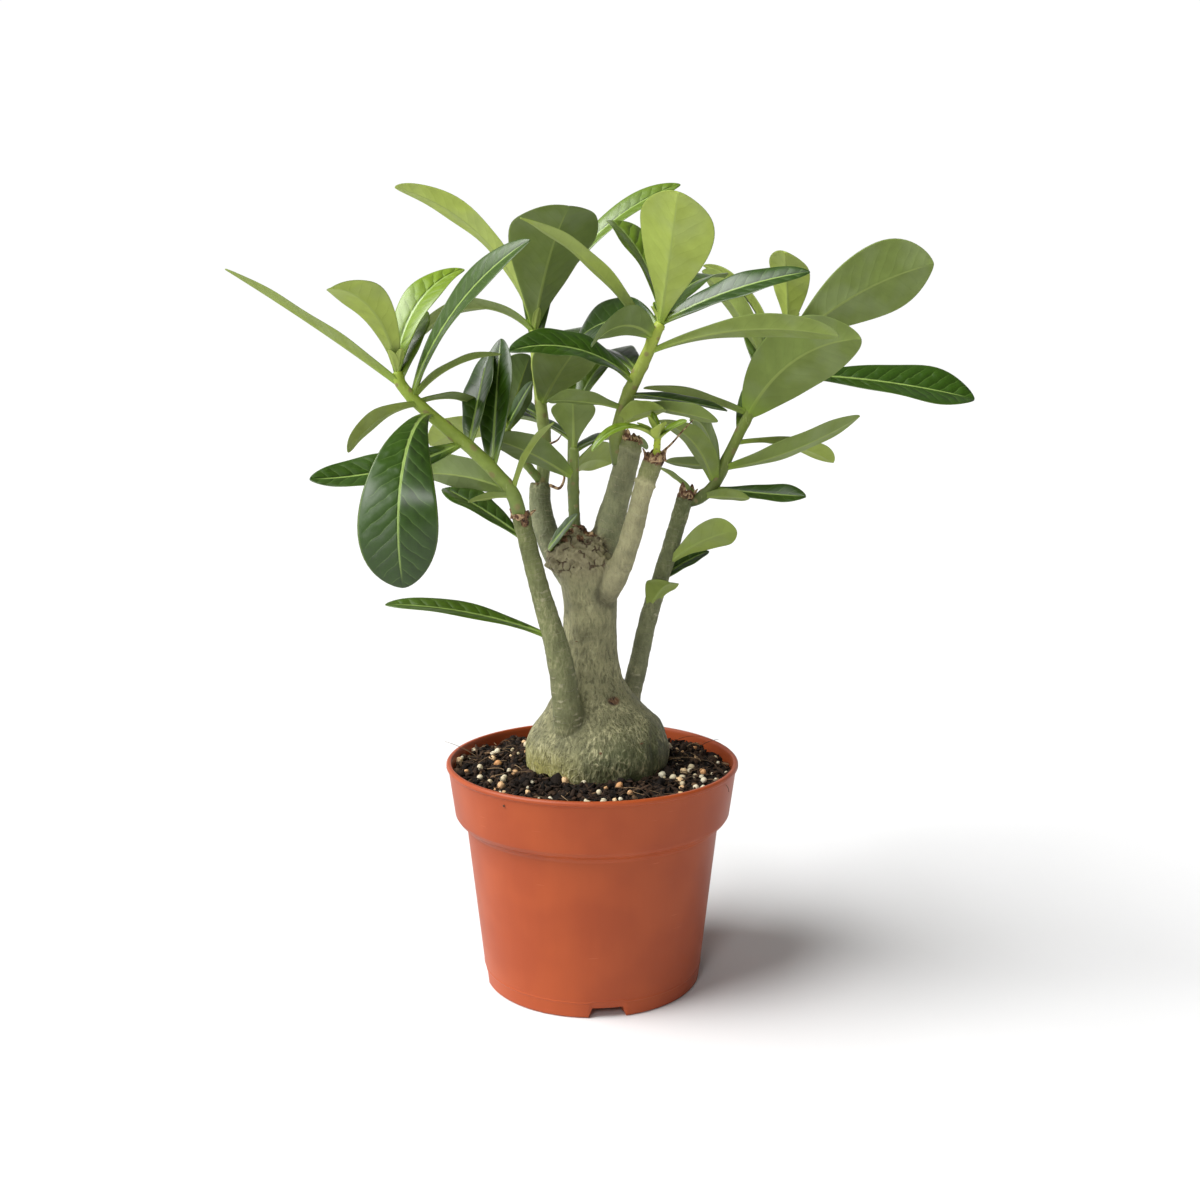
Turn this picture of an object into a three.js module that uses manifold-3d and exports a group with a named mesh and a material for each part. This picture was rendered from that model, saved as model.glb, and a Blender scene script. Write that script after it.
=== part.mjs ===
// A desert rose with a swollen caudex, in a round nursery pot.
// Millimetres, +Z up. The origin is the centre of the pot's foot, and -Y is the side that faces the viewer.

import * as THREE from 'three';
import { mergeVertices } from 'three/addons/utils/BufferGeometryUtils.js';
import Module from 'manifold-3d';

const wasm = await Module();
wasm.setup();

// Pot
const POT_HEIGHT = 93;
const RIM_RADIUS = 60;
const LIP_HEIGHT = 2.2;
const LIP_OUT = 0.8;
const BAND_FOOT_Z = 71;
const BAND_FOOT_RADIUS = 56.6;
const BODY_TOP_Z = 66.5;
const BODY_TOP_RADIUS = 52;
const FOOT_RADIUS = 44.8;
const WALL = 1.4;
const FLOOR_TOP = 6;
const RECESS_DEPTH = 4;
const HUB_RADIUS = 14;
const FOOT_RING = 8;
const POT_SIDES = 48;
const NOTCH_TOP_WIDTH = 12.2;
const NOTCH_FOOT_WIDTH = 15.3;
const NOTCH_TURN = 278;
const DRAIN_RADIUS = 3.5;
const DRAIN_RING = 25;
const DRAIN_COUNT = 8;
const DRAIN_SIDES = 8;

// Soil
const SOIL_EDGE_Z = 88;
const SOIL_RISE = 3;
const CLOD_HEIGHT = 0.7;
const GAP = 0.3;

// Leaves
const BLADE_THICKNESS = 0.8;
const PETIOLE_EXTRA = 0.9;
const PETIOLE_HALF_WIDTH = 1.1;
const LEAF_ROUNDNESS = 0.62;
const FOLD = 12;
const STATIONS = [0, 0.14, 0.3, 0.46, 0.6, 0.74, 0.87, 0.985];

const rad = THREE.MathUtils.degToRad;
const point = (x, y, z) => new THREE.Vector3(x, y, z);

const finish = (color, roughness) => new THREE.MeshStandardMaterial({ color, roughness, metalness: 0 });
const terracotta = finish(0xb4603a, 0.55);
const peat = finish(0x2a2019, 0.95);
const bark = finish(0x8f9077, 0.8);
const shootGreen = finish(0x4f7a2c, 0.45);
const youngGreen = finish(0x93b53e, 0.45);

// A closed skin over a row of rings that all have the same number of points.
// Every strip is split along the same diagonal, and both ends are closed with a fan.
function skin(rings) {
  const around = rings[0].length;
  const position = rings.flat().flatMap((p) => p.toArray());
  const index = [];
  for (let i = 0; i + 1 < rings.length; i += 1) {
    for (let k = 0; k < around; k += 1) {
      const a = i * around + k;
      const b = i * around + ((k + 1) % around);
      index.push(a, b, b + around, a, b + around, a + around);
    }
  }
  const last = (rings.length - 1) * around;
  for (let k = 1; k + 1 < around; k += 1) {
    index.push(0, k + 1, k);
    index.push(last, last + k, last + k + 1);
  }
  const geometry = new THREE.BufferGeometry();
  geometry.setAttribute('position', new THREE.Float32BufferAttribute(position, 3));
  geometry.setIndex(index);
  return geometry;
}

function solid(geometry) {
  const bare = geometry.clone();
  bare.deleteAttribute('normal');
  bare.deleteAttribute('uv');
  const merged = mergeVertices(bare, 1e-4);
  const vertProperties = new Float32Array(merged.attributes.position.array);
  const triVerts = new Uint32Array(merged.index.array);
  return new wasm.Manifold(new wasm.Mesh({ numProp: 3, vertProperties, triVerts }));
}

// Fused bodies can seal a tiny hollow between them, or leave a loose scrap. Only the largest skin is kept.
function fuse(solids) {
  const joined = solids.reduce((whole, next) => whole.add(next));
  return largest(joined);
}

function largest(body) {
  const skins = body.decompose();
  return skins.reduce((best, next) => (next.volume() > best.volume() ? next : best));
}

function mesh(name, body, material) {
  const { vertProperties, triVerts } = body.getMesh();
  const geometry = new THREE.BufferGeometry();
  geometry.setAttribute('position', new THREE.BufferAttribute(vertProperties, 3));
  geometry.setIndex(new THREE.BufferAttribute(triVerts, 1));
  geometry.computeVertexNormals();
  const piece = new THREE.Mesh(geometry, material);
  piece.name = name;
  return piece;
}

// A lathed body with its axis upright. The profile is a list of [radius, height].
function turned(profile, sides) {
  const outline = profile.map(([r, z]) => new THREE.Vector2(r, z));
  return new THREE.LatheGeometry(outline, sides).rotateX(Math.PI / 2);
}

// A curve through the points, uniform in the points: place 1.5 is halfway from the second to the third.
const along = (points) => new THREE.CatmullRomCurve3(points, false, 'catmullrom', 0.5);
const place = (points, at) => along(points).getPoint(at / (points.length - 1));

// A round stem through the points, with one radius for each point and a flat cut at both ends.
function stem(points, radii, sides, steps, grow = 0) {
  const curve = along(points);
  const count = (points.length - 1) * steps;
  const rings = [];
  for (let i = 0; i <= count; i += 1) {
    const t = i / count;
    const centre = curve.getPoint(t);
    const forward = curve.getTangent(t);
    const across = new THREE.Vector3(0, 1, 0).cross(forward).normalize();
    const up = forward.clone().cross(across);
    const lower = Math.min(Math.floor(i / steps), points.length - 2);
    const radius = THREE.MathUtils.lerp(radii[lower], radii[lower + 1], i / steps - lower) + grow;
    const ring = [];
    for (let k = 0; k < sides; k += 1) {
      const turn = (2 * Math.PI * k) / sides;
      const offset = across.clone().multiplyScalar(Math.cos(turn)).addScaledVector(up, Math.sin(turn));
      ring.push(centre.clone().addScaledVector(offset, radius));
    }
    rings.push(ring);
  }
  return skin(rings);
}

// A spoon-shaped leaf. It leaves its root toward the compass direction `turn` (0 is +X, 90 is +Y),
// climbs at `rise` degrees and bends down by `arch` degrees over its length. `roll` tilts the blade
// about its midrib, and `twist` adds to the roll toward the tip. `broad` is where it is widest.
// Its half width is that of a flattened sine, with a narrow petiole at the root, and its two
// halves stand up by FOLD degrees from the midrib.
function leaf(root, { turn, rise, long, wide, arch, roll = 0, twist = 0, broad = 0.62 }) {
  const heading = rad(turn);
  const bend = rad(arch);
  const climb = rad(rise);
  const skew = Math.log(0.5) / Math.log(broad);
  const side = point(-Math.sin(heading), Math.cos(heading), 0);
  const rings = STATIONS.map((u) => {
    const slope = climb - bend * u;
    const reach = (long * (Math.sin(climb) - Math.sin(slope))) / bend;
    const height = (long * (Math.cos(slope) - Math.cos(climb))) / bend;
    const middle = root.clone().add(point(reach * Math.cos(heading), reach * Math.sin(heading), height));
    const forward = point(
      Math.cos(slope) * Math.cos(heading),
      Math.cos(slope) * Math.sin(heading),
      Math.sin(slope),
    );
    const tilt = rad(roll + twist * u);
    const across = side.clone().applyAxisAngle(forward, tilt);
    const face = forward.clone().cross(side).applyAxisAngle(forward, tilt);
    const swell = Math.sin(Math.PI * u ** skew) ** LEAF_ROUNDNESS;
    const half = (wide / 2) * swell + PETIOLE_HALF_WIDTH * (1 - u) ** 2;
    const lift = face.clone().multiplyScalar((BLADE_THICKNESS + PETIOLE_EXTRA * (1 - u) ** 3) / 2);
    const rightOut = across.clone().multiplyScalar(Math.cos(rad(FOLD))).addScaledVector(face, Math.sin(rad(FOLD)));
    const leftOut = across.clone().multiplyScalar(-Math.cos(rad(FOLD))).addScaledVector(face, Math.sin(rad(FOLD)));
    const right = middle.clone().addScaledVector(rightOut, half);
    const left = middle.clone().addScaledVector(leftOut, half);
    const top = [right, middle, left].map((p) => p.clone().add(lift));
    const under = [left, middle, right].map((p) => p.clone().sub(lift));
    return [...top, ...under];
  });
  return skin(rings);
}

// Caudex: stations of the trunk as [x, z, radius], then the branches.
const TRUNK = [
  [2, 62, 12], [2, 74, 21], [2, 86, 28], [1.9, 96, 29.8], [2.2, 103, 28.4], [2.7, 109, 25],
  [1.4, 116, 19.2], [0.2, 123, 14.6], [-0.4, 131, 12], [-0.7, 146, 10.9], [-0.7, 158, 10.9],
  [-1.5, 167, 11.6], [-3, 175, 11.6], [-4, 182, 9.4], [-4, 186, 5],
];
const TRUNK_SIDES = 20;

const BRANCHES = {
  left: {
    points: [
      point(-7, -12, 99), point(-9.4, -17.2, 113), point(-12.6, -21, 138.6),
      point(-20.2, -22, 166.8), point(-24.6, -23, 184.6), point(-27.5, -24, 197.5),
    ],
    radii: [6.8, 6.2, 5.2, 4, 3.7, 3.9],
  },
  right: {
    points: [
      point(10, 9, 104), point(16.6, 12, 118.9), point(23.2, 16, 147.9), point(31.5, 18, 175.1),
      point(39.2, 20, 201.1),
    ],
    radii: [5.4, 4.4, 3.9, 3.7, 3.7],
  },
  pale: {
    points: [
      point(1, -3, 159), point(6, -6, 165), point(10.3, -8, 172), point(15, -11, 185),
      point(20, -13, 204.9), point(24.5, -14, 218.6),
    ],
    radii: [6, 5.9, 4.9, 4.4, 4, 4.3],
  },
  front: {
    points: [
      point(0, 2, 170), point(4.8, 4, 183), point(10.4, 4, 201.4), point(14.4, 2, 217.6),
      point(15.9, 2, 224.3),
    ],
    radii: [7, 6.2, 5.4, 5, 4.7],
  },
  backLeft: {
    points: [
      point(-2, 5, 157), point(-8.4, 13, 166), point(-17.2, 18, 179.3), point(-21.4, 21, 193.5),
      point(-21.8, 22, 205),
    ],
    radii: [6, 5.8, 5.3, 4.9, 4.4],
  },
};
const BRANCH_SIDES = 9;
const BRANCH_STEPS = 2;
const SHOOT_SIDES = 7;
const SHOOT_STEPS = 2;

// Pruned knobs on the head of the trunk, as [x, y, z, radius].
const KNOBS = [
  [-13.5, -1, 175, 5.6], [-10, -1.5, 182.5, 5.2], [-6, 0.5, 184.5, 5], [0.5, -3, 181, 5.4], [2, 5, 178, 5.6],
];

function caudex(grow = 0) {
  const rings = TRUNK.map(([x, z, radius]) => {
    const ring = [];
    for (let k = 0; k < TRUNK_SIDES; k += 1) {
      const turn = (2 * Math.PI * k) / TRUNK_SIDES;
      ring.push(point(x + (radius + grow) * Math.cos(turn), (radius + grow) * Math.sin(turn), z));
    }
    return ring;
  });
  const parts = [solid(skin(rings))];
  for (const { points, radii } of Object.values(BRANCHES)) {
    const ends = points.map((p) => p.clone());
    const last = ends.length - 1;
    const outward = ends[last].clone().sub(ends[last - 1]).normalize();
    ends[last].addScaledVector(outward, grow);
    parts.push(solid(stem(ends, radii, BRANCH_SIDES, BRANCH_STEPS, grow)));
  }
  for (const [x, y, z, radius] of KNOBS) {
    const knob = new THREE.IcosahedronGeometry(radius + grow, 1);
    parts.push(solid(knob.translate(x, y, z)));
  }
  return fuse(parts);
}

// Pot
const LIP_FOOT_Z = POT_HEIGHT - LIP_HEIGHT;
const BAND_TOP_RADIUS = RIM_RADIUS - LIP_OUT;
const OUTSIDE = [
  [FOOT_RADIUS - FOOT_RING, 0],
  [FOOT_RADIUS - 0.6, 0],
  [FOOT_RADIUS, 0.6],
  [BODY_TOP_RADIUS, BODY_TOP_Z],
  [BODY_TOP_RADIUS + 1, BODY_TOP_Z + 1.6],
  [BAND_FOOT_RADIUS - 1, BAND_FOOT_Z - 1],
  [BAND_FOOT_RADIUS, BAND_FOOT_Z + 0.6],
  [BAND_TOP_RADIUS, LIP_FOOT_Z],
  [RIM_RADIUS, LIP_FOOT_Z + 0.6],
  [RIM_RADIUS, POT_HEIGHT - 0.7],
  [RIM_RADIUS - 0.6, POT_HEIGHT],
];
const INSIDE = [
  [RIM_RADIUS - WALL - 0.4, POT_HEIGHT],
  [BAND_TOP_RADIUS - WALL, POT_HEIGHT - 1],
  [BAND_FOOT_RADIUS - WALL, BAND_FOOT_Z + 1.4],
  [BODY_TOP_RADIUS - WALL, BODY_TOP_Z + 0.8],
  [FOOT_RADIUS - WALL, FLOOR_TOP + 1.2],
  [FOOT_RADIUS - WALL - 1.2, FLOOR_TOP],
];

function pot() {
  const underside = [
    [0, 0],
    [HUB_RADIUS, 0],
    [HUB_RADIUS + 1, RECESS_DEPTH],
    [FOOT_RADIUS - FOOT_RING - 1, RECESS_DEPTH],
  ];
  let body = solid(turned([...underside, ...OUTSIDE, ...INSIDE, [0, FLOOR_TOP]], POT_SIDES));
  const notch = new THREE.Shape([
    new THREE.Vector2(-NOTCH_FOOT_WIDTH / 2, -1),
    new THREE.Vector2(NOTCH_FOOT_WIDTH / 2, -1),
    new THREE.Vector2(NOTCH_TOP_WIDTH / 2, RECESS_DEPTH),
    new THREE.Vector2(-NOTCH_TOP_WIDTH / 2, RECESS_DEPTH),
  ]);
  for (let quarter = 0; quarter < 4; quarter += 1) {
    const slot = new THREE.ExtrudeGeometry(notch, { depth: 16, bevelEnabled: false });
    slot.rotateX(Math.PI / 2).rotateZ(Math.PI / 2).translate(FOOT_RADIUS - FOOT_RING - 4, 0, 0);
    slot.rotateZ(rad(NOTCH_TURN + 90 * quarter));
    body = body.subtract(solid(slot));
  }
  for (let k = 0; k < DRAIN_COUNT; k += 1) {
    const turn = (2 * Math.PI * (k + 0.5)) / DRAIN_COUNT;
    const hole = new THREE.CylinderGeometry(DRAIN_RADIUS, DRAIN_RADIUS, 8, DRAIN_SIDES).rotateX(Math.PI / 2);
    hole.translate(DRAIN_RING * Math.cos(turn), DRAIN_RING * Math.sin(turn), FLOOR_TOP - 1);
    body = body.subtract(solid(hole));
  }
  return body;
}

// Soil: a turned body whose top rises to the plant, with low clods from a sum of sines.
function soil() {
  const side = INSIDE.slice(2).reverse().map(([r, z]) => [r - GAP, z + GAP]);
  const edge = [[BAND_TOP_RADIUS - WALL - GAP - 0.6, SOIL_EDGE_Z]];
  const top = [50, 44, 38, 32, 26, 18, 9].map((r) => [r, SOIL_EDGE_Z + SOIL_RISE * (1 - (r / 54) ** 2)]);
  const crown = SOIL_EDGE_Z + SOIL_RISE;
  const geometry = turned([[0, FLOOR_TOP + GAP], ...side, ...edge, ...top, [0, crown]], 40);
  const position = geometry.attributes.position;
  for (let i = 0; i < position.count; i += 1) {
    const x = position.getX(i);
    const y = position.getY(i);
    if (position.getZ(i) > SOIL_EDGE_Z + 0.1) {
      const clod = Math.sin(x * 0.9) * Math.sin(y * 0.8 + 1) + 0.6 * Math.sin(x * 0.37 - y * 0.53);
      position.setZ(i, position.getZ(i) + CLOD_HEIGHT * clod);
    }
  }
  return solid(geometry).subtract(caudex(GAP));
}

// Leafy shoots: a green stem with its leaves. `at` counts the stem's points.
const SHOOTS = {
  shoot_left: [
    {
      points: [
        point(-27, -24, 193), point(-30, -25, 204), point(-36, -26, 212), point(-45, -28, 221.5),
        point(-55.5, -30, 230.5), point(-65.5, -31, 239.5), point(-71, -31, 246), point(-72.5, -31, 251),
      ],
      thick: [2.9, 2],
      leaves: [
        { at: 5.9, turn: 168, rise: 34, long: 82, wide: 14, arch: 4, roll: 24, broad: 0.48 },
        { at: 6.9, turn: 242, rise: 80, long: 52, wide: 17, arch: 85, roll: 19, broad: 0.69 },
        { at: 6.9, turn: 44, rise: 86, long: 54, wide: 15, arch: 72, roll: 18, broad: 0.59 },
        { at: 5.2, turn: 334, rise: 69, long: 77, wide: 15, arch: 43, roll: 55, broad: 0.64 },
        { at: 5.2, turn: 16, rise: 50, long: 39, wide: 10, arch: 50, roll: -15, broad: 0.53 },
        { at: 5, turn: 46, rise: 14, long: 33, wide: 9, arch: 37, roll: -14, broad: 0.59 },
        { at: 4.9, turn: 229, rise: -1, long: 39, wide: 11, arch: 49, roll: 58, broad: 0.74 },
        { at: 4.4, turn: 261, rise: 9, long: 89, wide: 28, arch: 128, roll: -12, broad: 0.74 },
        { at: 1.3, turn: 146, rise: 15, long: 47, wide: 18, arch: 21, roll: 54, broad: 0.55 },
        { at: 3.3, turn: 199, rise: -25, long: 60, wide: 17, arch: -26, roll: -35, broad: 0.64 },
        { at: 3.1, turn: 79, rise: 56, long: 46, wide: 16, arch: 10, roll: -33, broad: 0.6 },
        { at: 2.2, turn: 86, rise: 67, long: 56, wide: 16, arch: 10, roll: -27, broad: 0.6 },
        { at: 1.1, turn: 329, rise: 73, long: 34, wide: 8, arch: 37, roll: 7, broad: 0.72 },
        { at: 1, turn: 200, rise: 1, long: 18, wide: 6, arch: 15, roll: 33, broad: 0.6 },
        { at: 6.2, turn: 75, rise: 70, long: 36, wide: 15, arch: 40 },
      ],
    },
  ],
  shoot_back_left: [
    {
      points: [
        point(-21.8, 22, 198), point(-19.7, 25, 219), point(-21.3, 27, 236.5), point(-23, 28, 253),
        point(-24, 28, 268),
      ],
      thick: [2.9, 2],
      leaves: [
        { at: 3.9, turn: 291, rise: 67, long: 64, wide: 36, arch: 40, roll: -3, broad: 0.7 },
        { at: 3.9, turn: 175, rise: 78, long: 86, wide: 16, arch: 65, roll: 35, broad: 0.67 },
        { at: 3.9, turn: 161, rise: 44, long: 62, wide: 14, arch: 97, roll: 16, broad: 0.48 },
        { at: 3.9, turn: 15, rise: 69, long: 90, wide: 14, arch: 50, roll: 29, broad: 0.74 },
        { at: 2, turn: 299, rise: 43, long: 42, wide: 26, arch: 15, roll: -18, broad: 0.66 },
        { at: 3.4, turn: 85, rise: 82, long: 58, wide: 15, arch: 22, roll: 10 },
        { at: 2.8, turn: 50, rise: 48, long: 56, wide: 18, arch: 60 },
        { at: 1.6, turn: 130, rise: 30, long: 50, wide: 17, arch: 60 },
      ],
    },
    {
      points: [point(-22, 22, 206), point(-28, 18, 214), point(-33, 14, 223), point(-35, 13, 228)],
      thick: [1.8, 1.5],
      leaves: [
        { at: 2.8, turn: 74, rise: 53, long: 42, wide: 20, arch: 15, roll: -117, broad: 0.6 },
        { at: 2.8, turn: 322, rise: 59, long: 24, wide: 8, arch: 10, roll: 63, broad: 0.6 },
        { at: 2.4, turn: 142, rise: 12, long: 46, wide: 18, arch: 40, roll: 33 },
      ],
    },
  ],
  shoot_centre: [
    {
      points: [
        point(11, 2, 214), point(9.8, 2, 224), point(13.4, -2, 239), point(17.6, -5, 249),
        point(22, -8, 258.5), point(25, -10, 266), point(26.7, -10, 269),
      ],
      thick: [3, 2.1],
      leaves: [
        { at: 4.4, turn: 221, rise: 51, long: 78, wide: 13, arch: 35, roll: -3, broad: 0.66 },
        { at: 5.9, turn: 276, rise: 45, long: 60, wide: 30, arch: -6, roll: -30, broad: 0.72 },
        { at: 5.9, turn: 142, rise: 84, long: 48, wide: 24, arch: 50, roll: -1, broad: 0.78 },
        { at: 5.9, turn: 352, rise: 30, long: 60, wide: 14, arch: 23, roll: 40, broad: 0.59 },
        { at: 3.9, turn: 339, rise: 22, long: 76, wide: 14, arch: 35, roll: -40, broad: 0.72 },
        { at: 5.1, turn: 136, rise: 25, long: 46, wide: 22, arch: 60, roll: -51, broad: 0.6 },
        { at: 4.6, turn: 230, rise: 32, long: 40, wide: 18, arch: 75, roll: 42, broad: 0.6 },
        { at: 2.7, turn: 202, rise: 43, long: 55, wide: 20, arch: 60, roll: -33, broad: 0.55 },
        { at: 1.8, turn: 206, rise: 14, long: 33, wide: 16, arch: 16, roll: 22, broad: 0.72 },
        { at: 2.2, turn: 3, rise: -4, long: 40, wide: 11, arch: 10, roll: 17, broad: 0.6 },
        { at: 1.9, turn: 330, rise: -2, long: 41, wide: 12, arch: 12, roll: -37, broad: 0.73 },
        { at: 1.4, turn: 313, rise: 30, long: 26, wide: 13, arch: 30, roll: -27, broad: 0.6 },
        { at: 4.8, turn: 55, rise: 52, long: 60, wide: 18, arch: 55 },
        { at: 3, turn: 110, rise: 35, long: 56, wide: 18, arch: 60 },
      ],
    },
  ],
  shoot_right: [
    {
      points: [
        point(39, 20, 197), point(45, 20, 199), point(51, 20, 205), point(57, 22, 217.5),
        point(63.5, 24, 230.5), point(70, 26, 243.5), point(76, 28, 256),
        point(82, 29.5, 265),
      ],
      thick: [2.6, 1.8],
      leaves: [
        { at: 4.1, turn: 312, rise: 58, long: 68, wide: 29, arch: 59, roll: -57, broad: 0.54 },
        { at: 5.9, turn: 12, rise: 47, long: 81, wide: 32, arch: 34, roll: -77, broad: 0.72 },
        { at: 6.9, turn: 257, rise: 69, long: 41, wide: 19, arch: 30, roll: -25, broad: 0.71 },
        { at: 5.9, turn: 137, rise: 76, long: 58, wide: 9, arch: 60, roll: 51, broad: 0.6 },
        { at: 5.5, turn: 133, rise: 63, long: 58, wide: 15, arch: 30, roll: 69, broad: 0.66 },
        { at: 5.4, turn: -6, rise: 1, long: 85, wide: 25, arch: 15, roll: 41, twist: -8, broad: 0.76 },
        { at: 4.2, turn: 161, rise: 20, long: 47, wide: 12, arch: 15, roll: 21, broad: 0.57 },
        { at: 2.5, turn: 355, rise: 10, long: 60, wide: 15, arch: -23, roll: -35, broad: 0.6 },
        { at: 3.3, turn: 14, rise: 8, long: 46, wide: 13, arch: 39, roll: -28, broad: 0.76 },
        { at: 1.7, turn: 339, rise: -5, long: 40, wide: 12, arch: -4, roll: 32, broad: 0.72 },
        { at: 1.1, turn: 326, rise: 5, long: 22, wide: 8, arch: 8, roll: -41, broad: 0.64 },
        { at: 1.9, turn: 222, rise: 72, long: 46, wide: 14, arch: 67, roll: 9, broad: 0.56 },
        { at: 2.2, turn: 108, rise: 79, long: 44, wide: 13, arch: 90, roll: 75, broad: 0.6 },
        { at: 2.6, turn: 148, rise: -2, long: 28, wide: 7, arch: -6, roll: 48, broad: 0.57 },
        { at: 0.8, turn: 137, rise: 39, long: 24, wide: 5, arch: 20, roll: 48, broad: 0.6 },
        { at: 5.1, turn: 85, rise: 55, long: 60, wide: 18, arch: 50 },
        { at: 3.6, turn: 60, rise: 50, long: 54, wide: 18, arch: 60 },
      ],
    },
  ],
  shoot_middle: [
    {
      points: [point(-7, 2, 180), point(-7.3, 2, 200), point(-7.2, 2, 221)],
      thick: [2.4, 1.9],
      leaves: [
        { at: 1.4, turn: 208, rise: 35, long: 40, wide: 17, arch: 20, roll: 36 },
        { at: 1.9, turn: 264, rise: 84, long: 21, wide: 18, arch: 8, roll: 5, broad: 0.78 },
      ],
    },
  ],
  shoot_back: [
    {
      points: [point(-6, 6, 179), point(-8, 20, 199), point(-8.5, 34, 220), point(-8, 38, 232)],
      thick: [2.4, 1.8],
      leaves: [
        { at: 1.5, turn: 57, rise: 24, long: 31, wide: 17, arch: 46, roll: -52, broad: 0.6 },
        { at: 2.4, turn: 52, rise: 77, long: 55, wide: 19, arch: 72, roll: -3, broad: 0.74 },
        { at: 2.7, turn: 115, rise: 62, long: 52, wide: 18, arch: 45 },
        { at: 2.1, turn: 160, rise: 38, long: 46, wide: 17, arch: 60 },
        { at: 1.8, turn: 40, rise: 30, long: 44, wide: 16, arch: 60 },
      ],
    },
  ],
};

const YOUNG_SPROUT = {
  points: [point(23.5, -14, 214), point(25, -14, 219), point(25.5, -14, 226)],
  thick: [1.6, 1.3],
  leaves: [
    { at: 1.9, turn: 212, rise: 39, long: 34, wide: 6, arch: 95, roll: -15, broad: 0.6 },
    { at: 1.9, turn: 325, rise: 37, long: 15, wide: 5, arch: 20, roll: 39, broad: 0.6 },
    { at: 1.9, turn: 274, rise: 32, long: 13, wide: 7, arch: 10, roll: 27, broad: 0.6 },
    { at: 1.9, turn: 208, rise: 43, long: 11, wide: 3, arch: 20, roll: 12, broad: 0.6 },
  ],
};

// Leaves that grow straight from the bark, each from a point inside its branch.
const BARK_LEAVES = {
  leaf_left_low: {
    root: place(BRANCHES.left.points, 2.3),
    form: { turn: 179, rise: 23, long: 68, wide: 13, arch: 23, roll: -17, broad: 0.67 },
  },
  leaf_left_high: {
    root: place(BRANCHES.left.points, 4.05),
    form: { turn: 142, rise: 29, long: 48, wide: 17, arch: 12, roll: -9, broad: 0.72 },
  },
  leaf_right_high: {
    root: place(BRANCHES.right.points, 2.8),
    form: { turn: 333, rise: 46, long: 37, wide: 15, arch: 35, roll: -57, broad: 0.76 },
  },
  leaf_right_middle: {
    root: place(BRANCHES.right.points, 2.6),
    form: { turn: 26, rise: 35, long: 26, wide: 9, arch: 20, roll: 18, broad: 0.6 },
  },
  leaf_right_low: {
    root: place(BRANCHES.right.points, 2.05),
    form: { turn: 301, rise: 76, long: 24, wide: 14, arch: 60, roll: -16, broad: 0.75 },
  },
  leaf_knob: {
    root: point(-17, -1, 180),
    form: { turn: 310, rise: 46, long: 24, wide: 6, arch: 10, roll: 69, broad: 0.55 },
  },
};

// A stem and its leaves in one piece. Each root starts on the stem's axis.
function shoot({ points, thick, leaves }) {
  const radii = points.map((_, i) => THREE.MathUtils.lerp(thick[0], thick[1], i / (points.length - 1)));
  const blades = leaves.map(({ at, ...form }) => solid(leaf(place(points, at), form)));
  return fuse([solid(stem(points, radii, SHOOT_SIDES, SHOOT_STEPS)), ...blades]);
}

const plant = new THREE.Group();
const seat = caudex(GAP);
plant.add(mesh('pot', pot(), terracotta));
plant.add(mesh('soil', soil(), peat));
plant.add(mesh('caudex', caudex(), bark));
for (const [name, stems] of Object.entries(SHOOTS)) {
  plant.add(mesh(name, largest(fuse(stems.map(shoot)).subtract(seat)), shootGreen));
}
plant.add(mesh('sprout_pale_branch', largest(shoot(YOUNG_SPROUT).subtract(seat)), youngGreen));
for (const [name, { root, form }] of Object.entries(BARK_LEAVES)) {
  plant.add(mesh(name, largest(solid(leaf(root, form)).subtract(seat)), shootGreen));
}

export default plant;
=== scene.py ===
import bmesh
import bpy
import numpy as np
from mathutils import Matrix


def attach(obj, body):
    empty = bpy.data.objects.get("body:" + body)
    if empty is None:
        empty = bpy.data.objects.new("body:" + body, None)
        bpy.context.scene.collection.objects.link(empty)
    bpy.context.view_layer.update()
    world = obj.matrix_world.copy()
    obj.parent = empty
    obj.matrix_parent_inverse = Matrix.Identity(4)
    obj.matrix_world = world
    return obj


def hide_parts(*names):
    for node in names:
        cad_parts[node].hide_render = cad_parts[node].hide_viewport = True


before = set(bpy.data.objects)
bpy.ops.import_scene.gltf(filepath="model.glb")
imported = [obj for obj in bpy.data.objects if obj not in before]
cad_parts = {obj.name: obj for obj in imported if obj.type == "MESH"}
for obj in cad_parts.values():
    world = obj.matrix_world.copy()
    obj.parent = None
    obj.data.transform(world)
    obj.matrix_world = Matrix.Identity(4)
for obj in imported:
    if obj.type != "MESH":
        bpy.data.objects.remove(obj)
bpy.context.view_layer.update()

# The pot is one injection-moulded piece of terracotta-coloured plastic, 12 cm across the rim. A deep band
# with a thin lip stiffens its mouth, four notches in the foot let water out, and holes drain its floor.
POT_UNDERSIDE = [[0.5, 0], [14, 0], [15, 4], [35.8, 4]]
POT_OUTSIDE = [
    [36.8, 0], [44.2, 0], [44.8, 0.6], [45.39, 6.1], [45.56, 6.35], [45.59, 6.75], [45.47, 7.0], [52, 66.5],
    [53, 68.1], [55.6, 70], [56.6, 71.6], [59.2, 90.8], [60, 91.4], [60, 92.3], [59.4, 93],
]
POT_INSIDE = [[58.2, 93], [57.8, 92], [55.2, 72.4], [50.6, 67.3], [43.4, 7.2], [42.2, 6], [0.5, 6]]
POT_COLUMNS = 256
FOOT_RADIUS = 44.8
NOTCH_HEIGHT = 4
NOTCH_FOOT_HALF = 7.65
NOTCH_TOP_HALF = 6.1
NOTCH_TURN = 278
SQUEEZED_HEIGHT = 8
CORNER_STEPS = 4
DRAIN_RADIUS = 3.5
DRAIN_RING = 25
DRAIN_COUNT = 8
DRAIN_HEIGHTS = [1.0, 9.0]
MIDWALL_RADIUS = 45.8
MIDWALL_SLOPE = 0.1327

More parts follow.
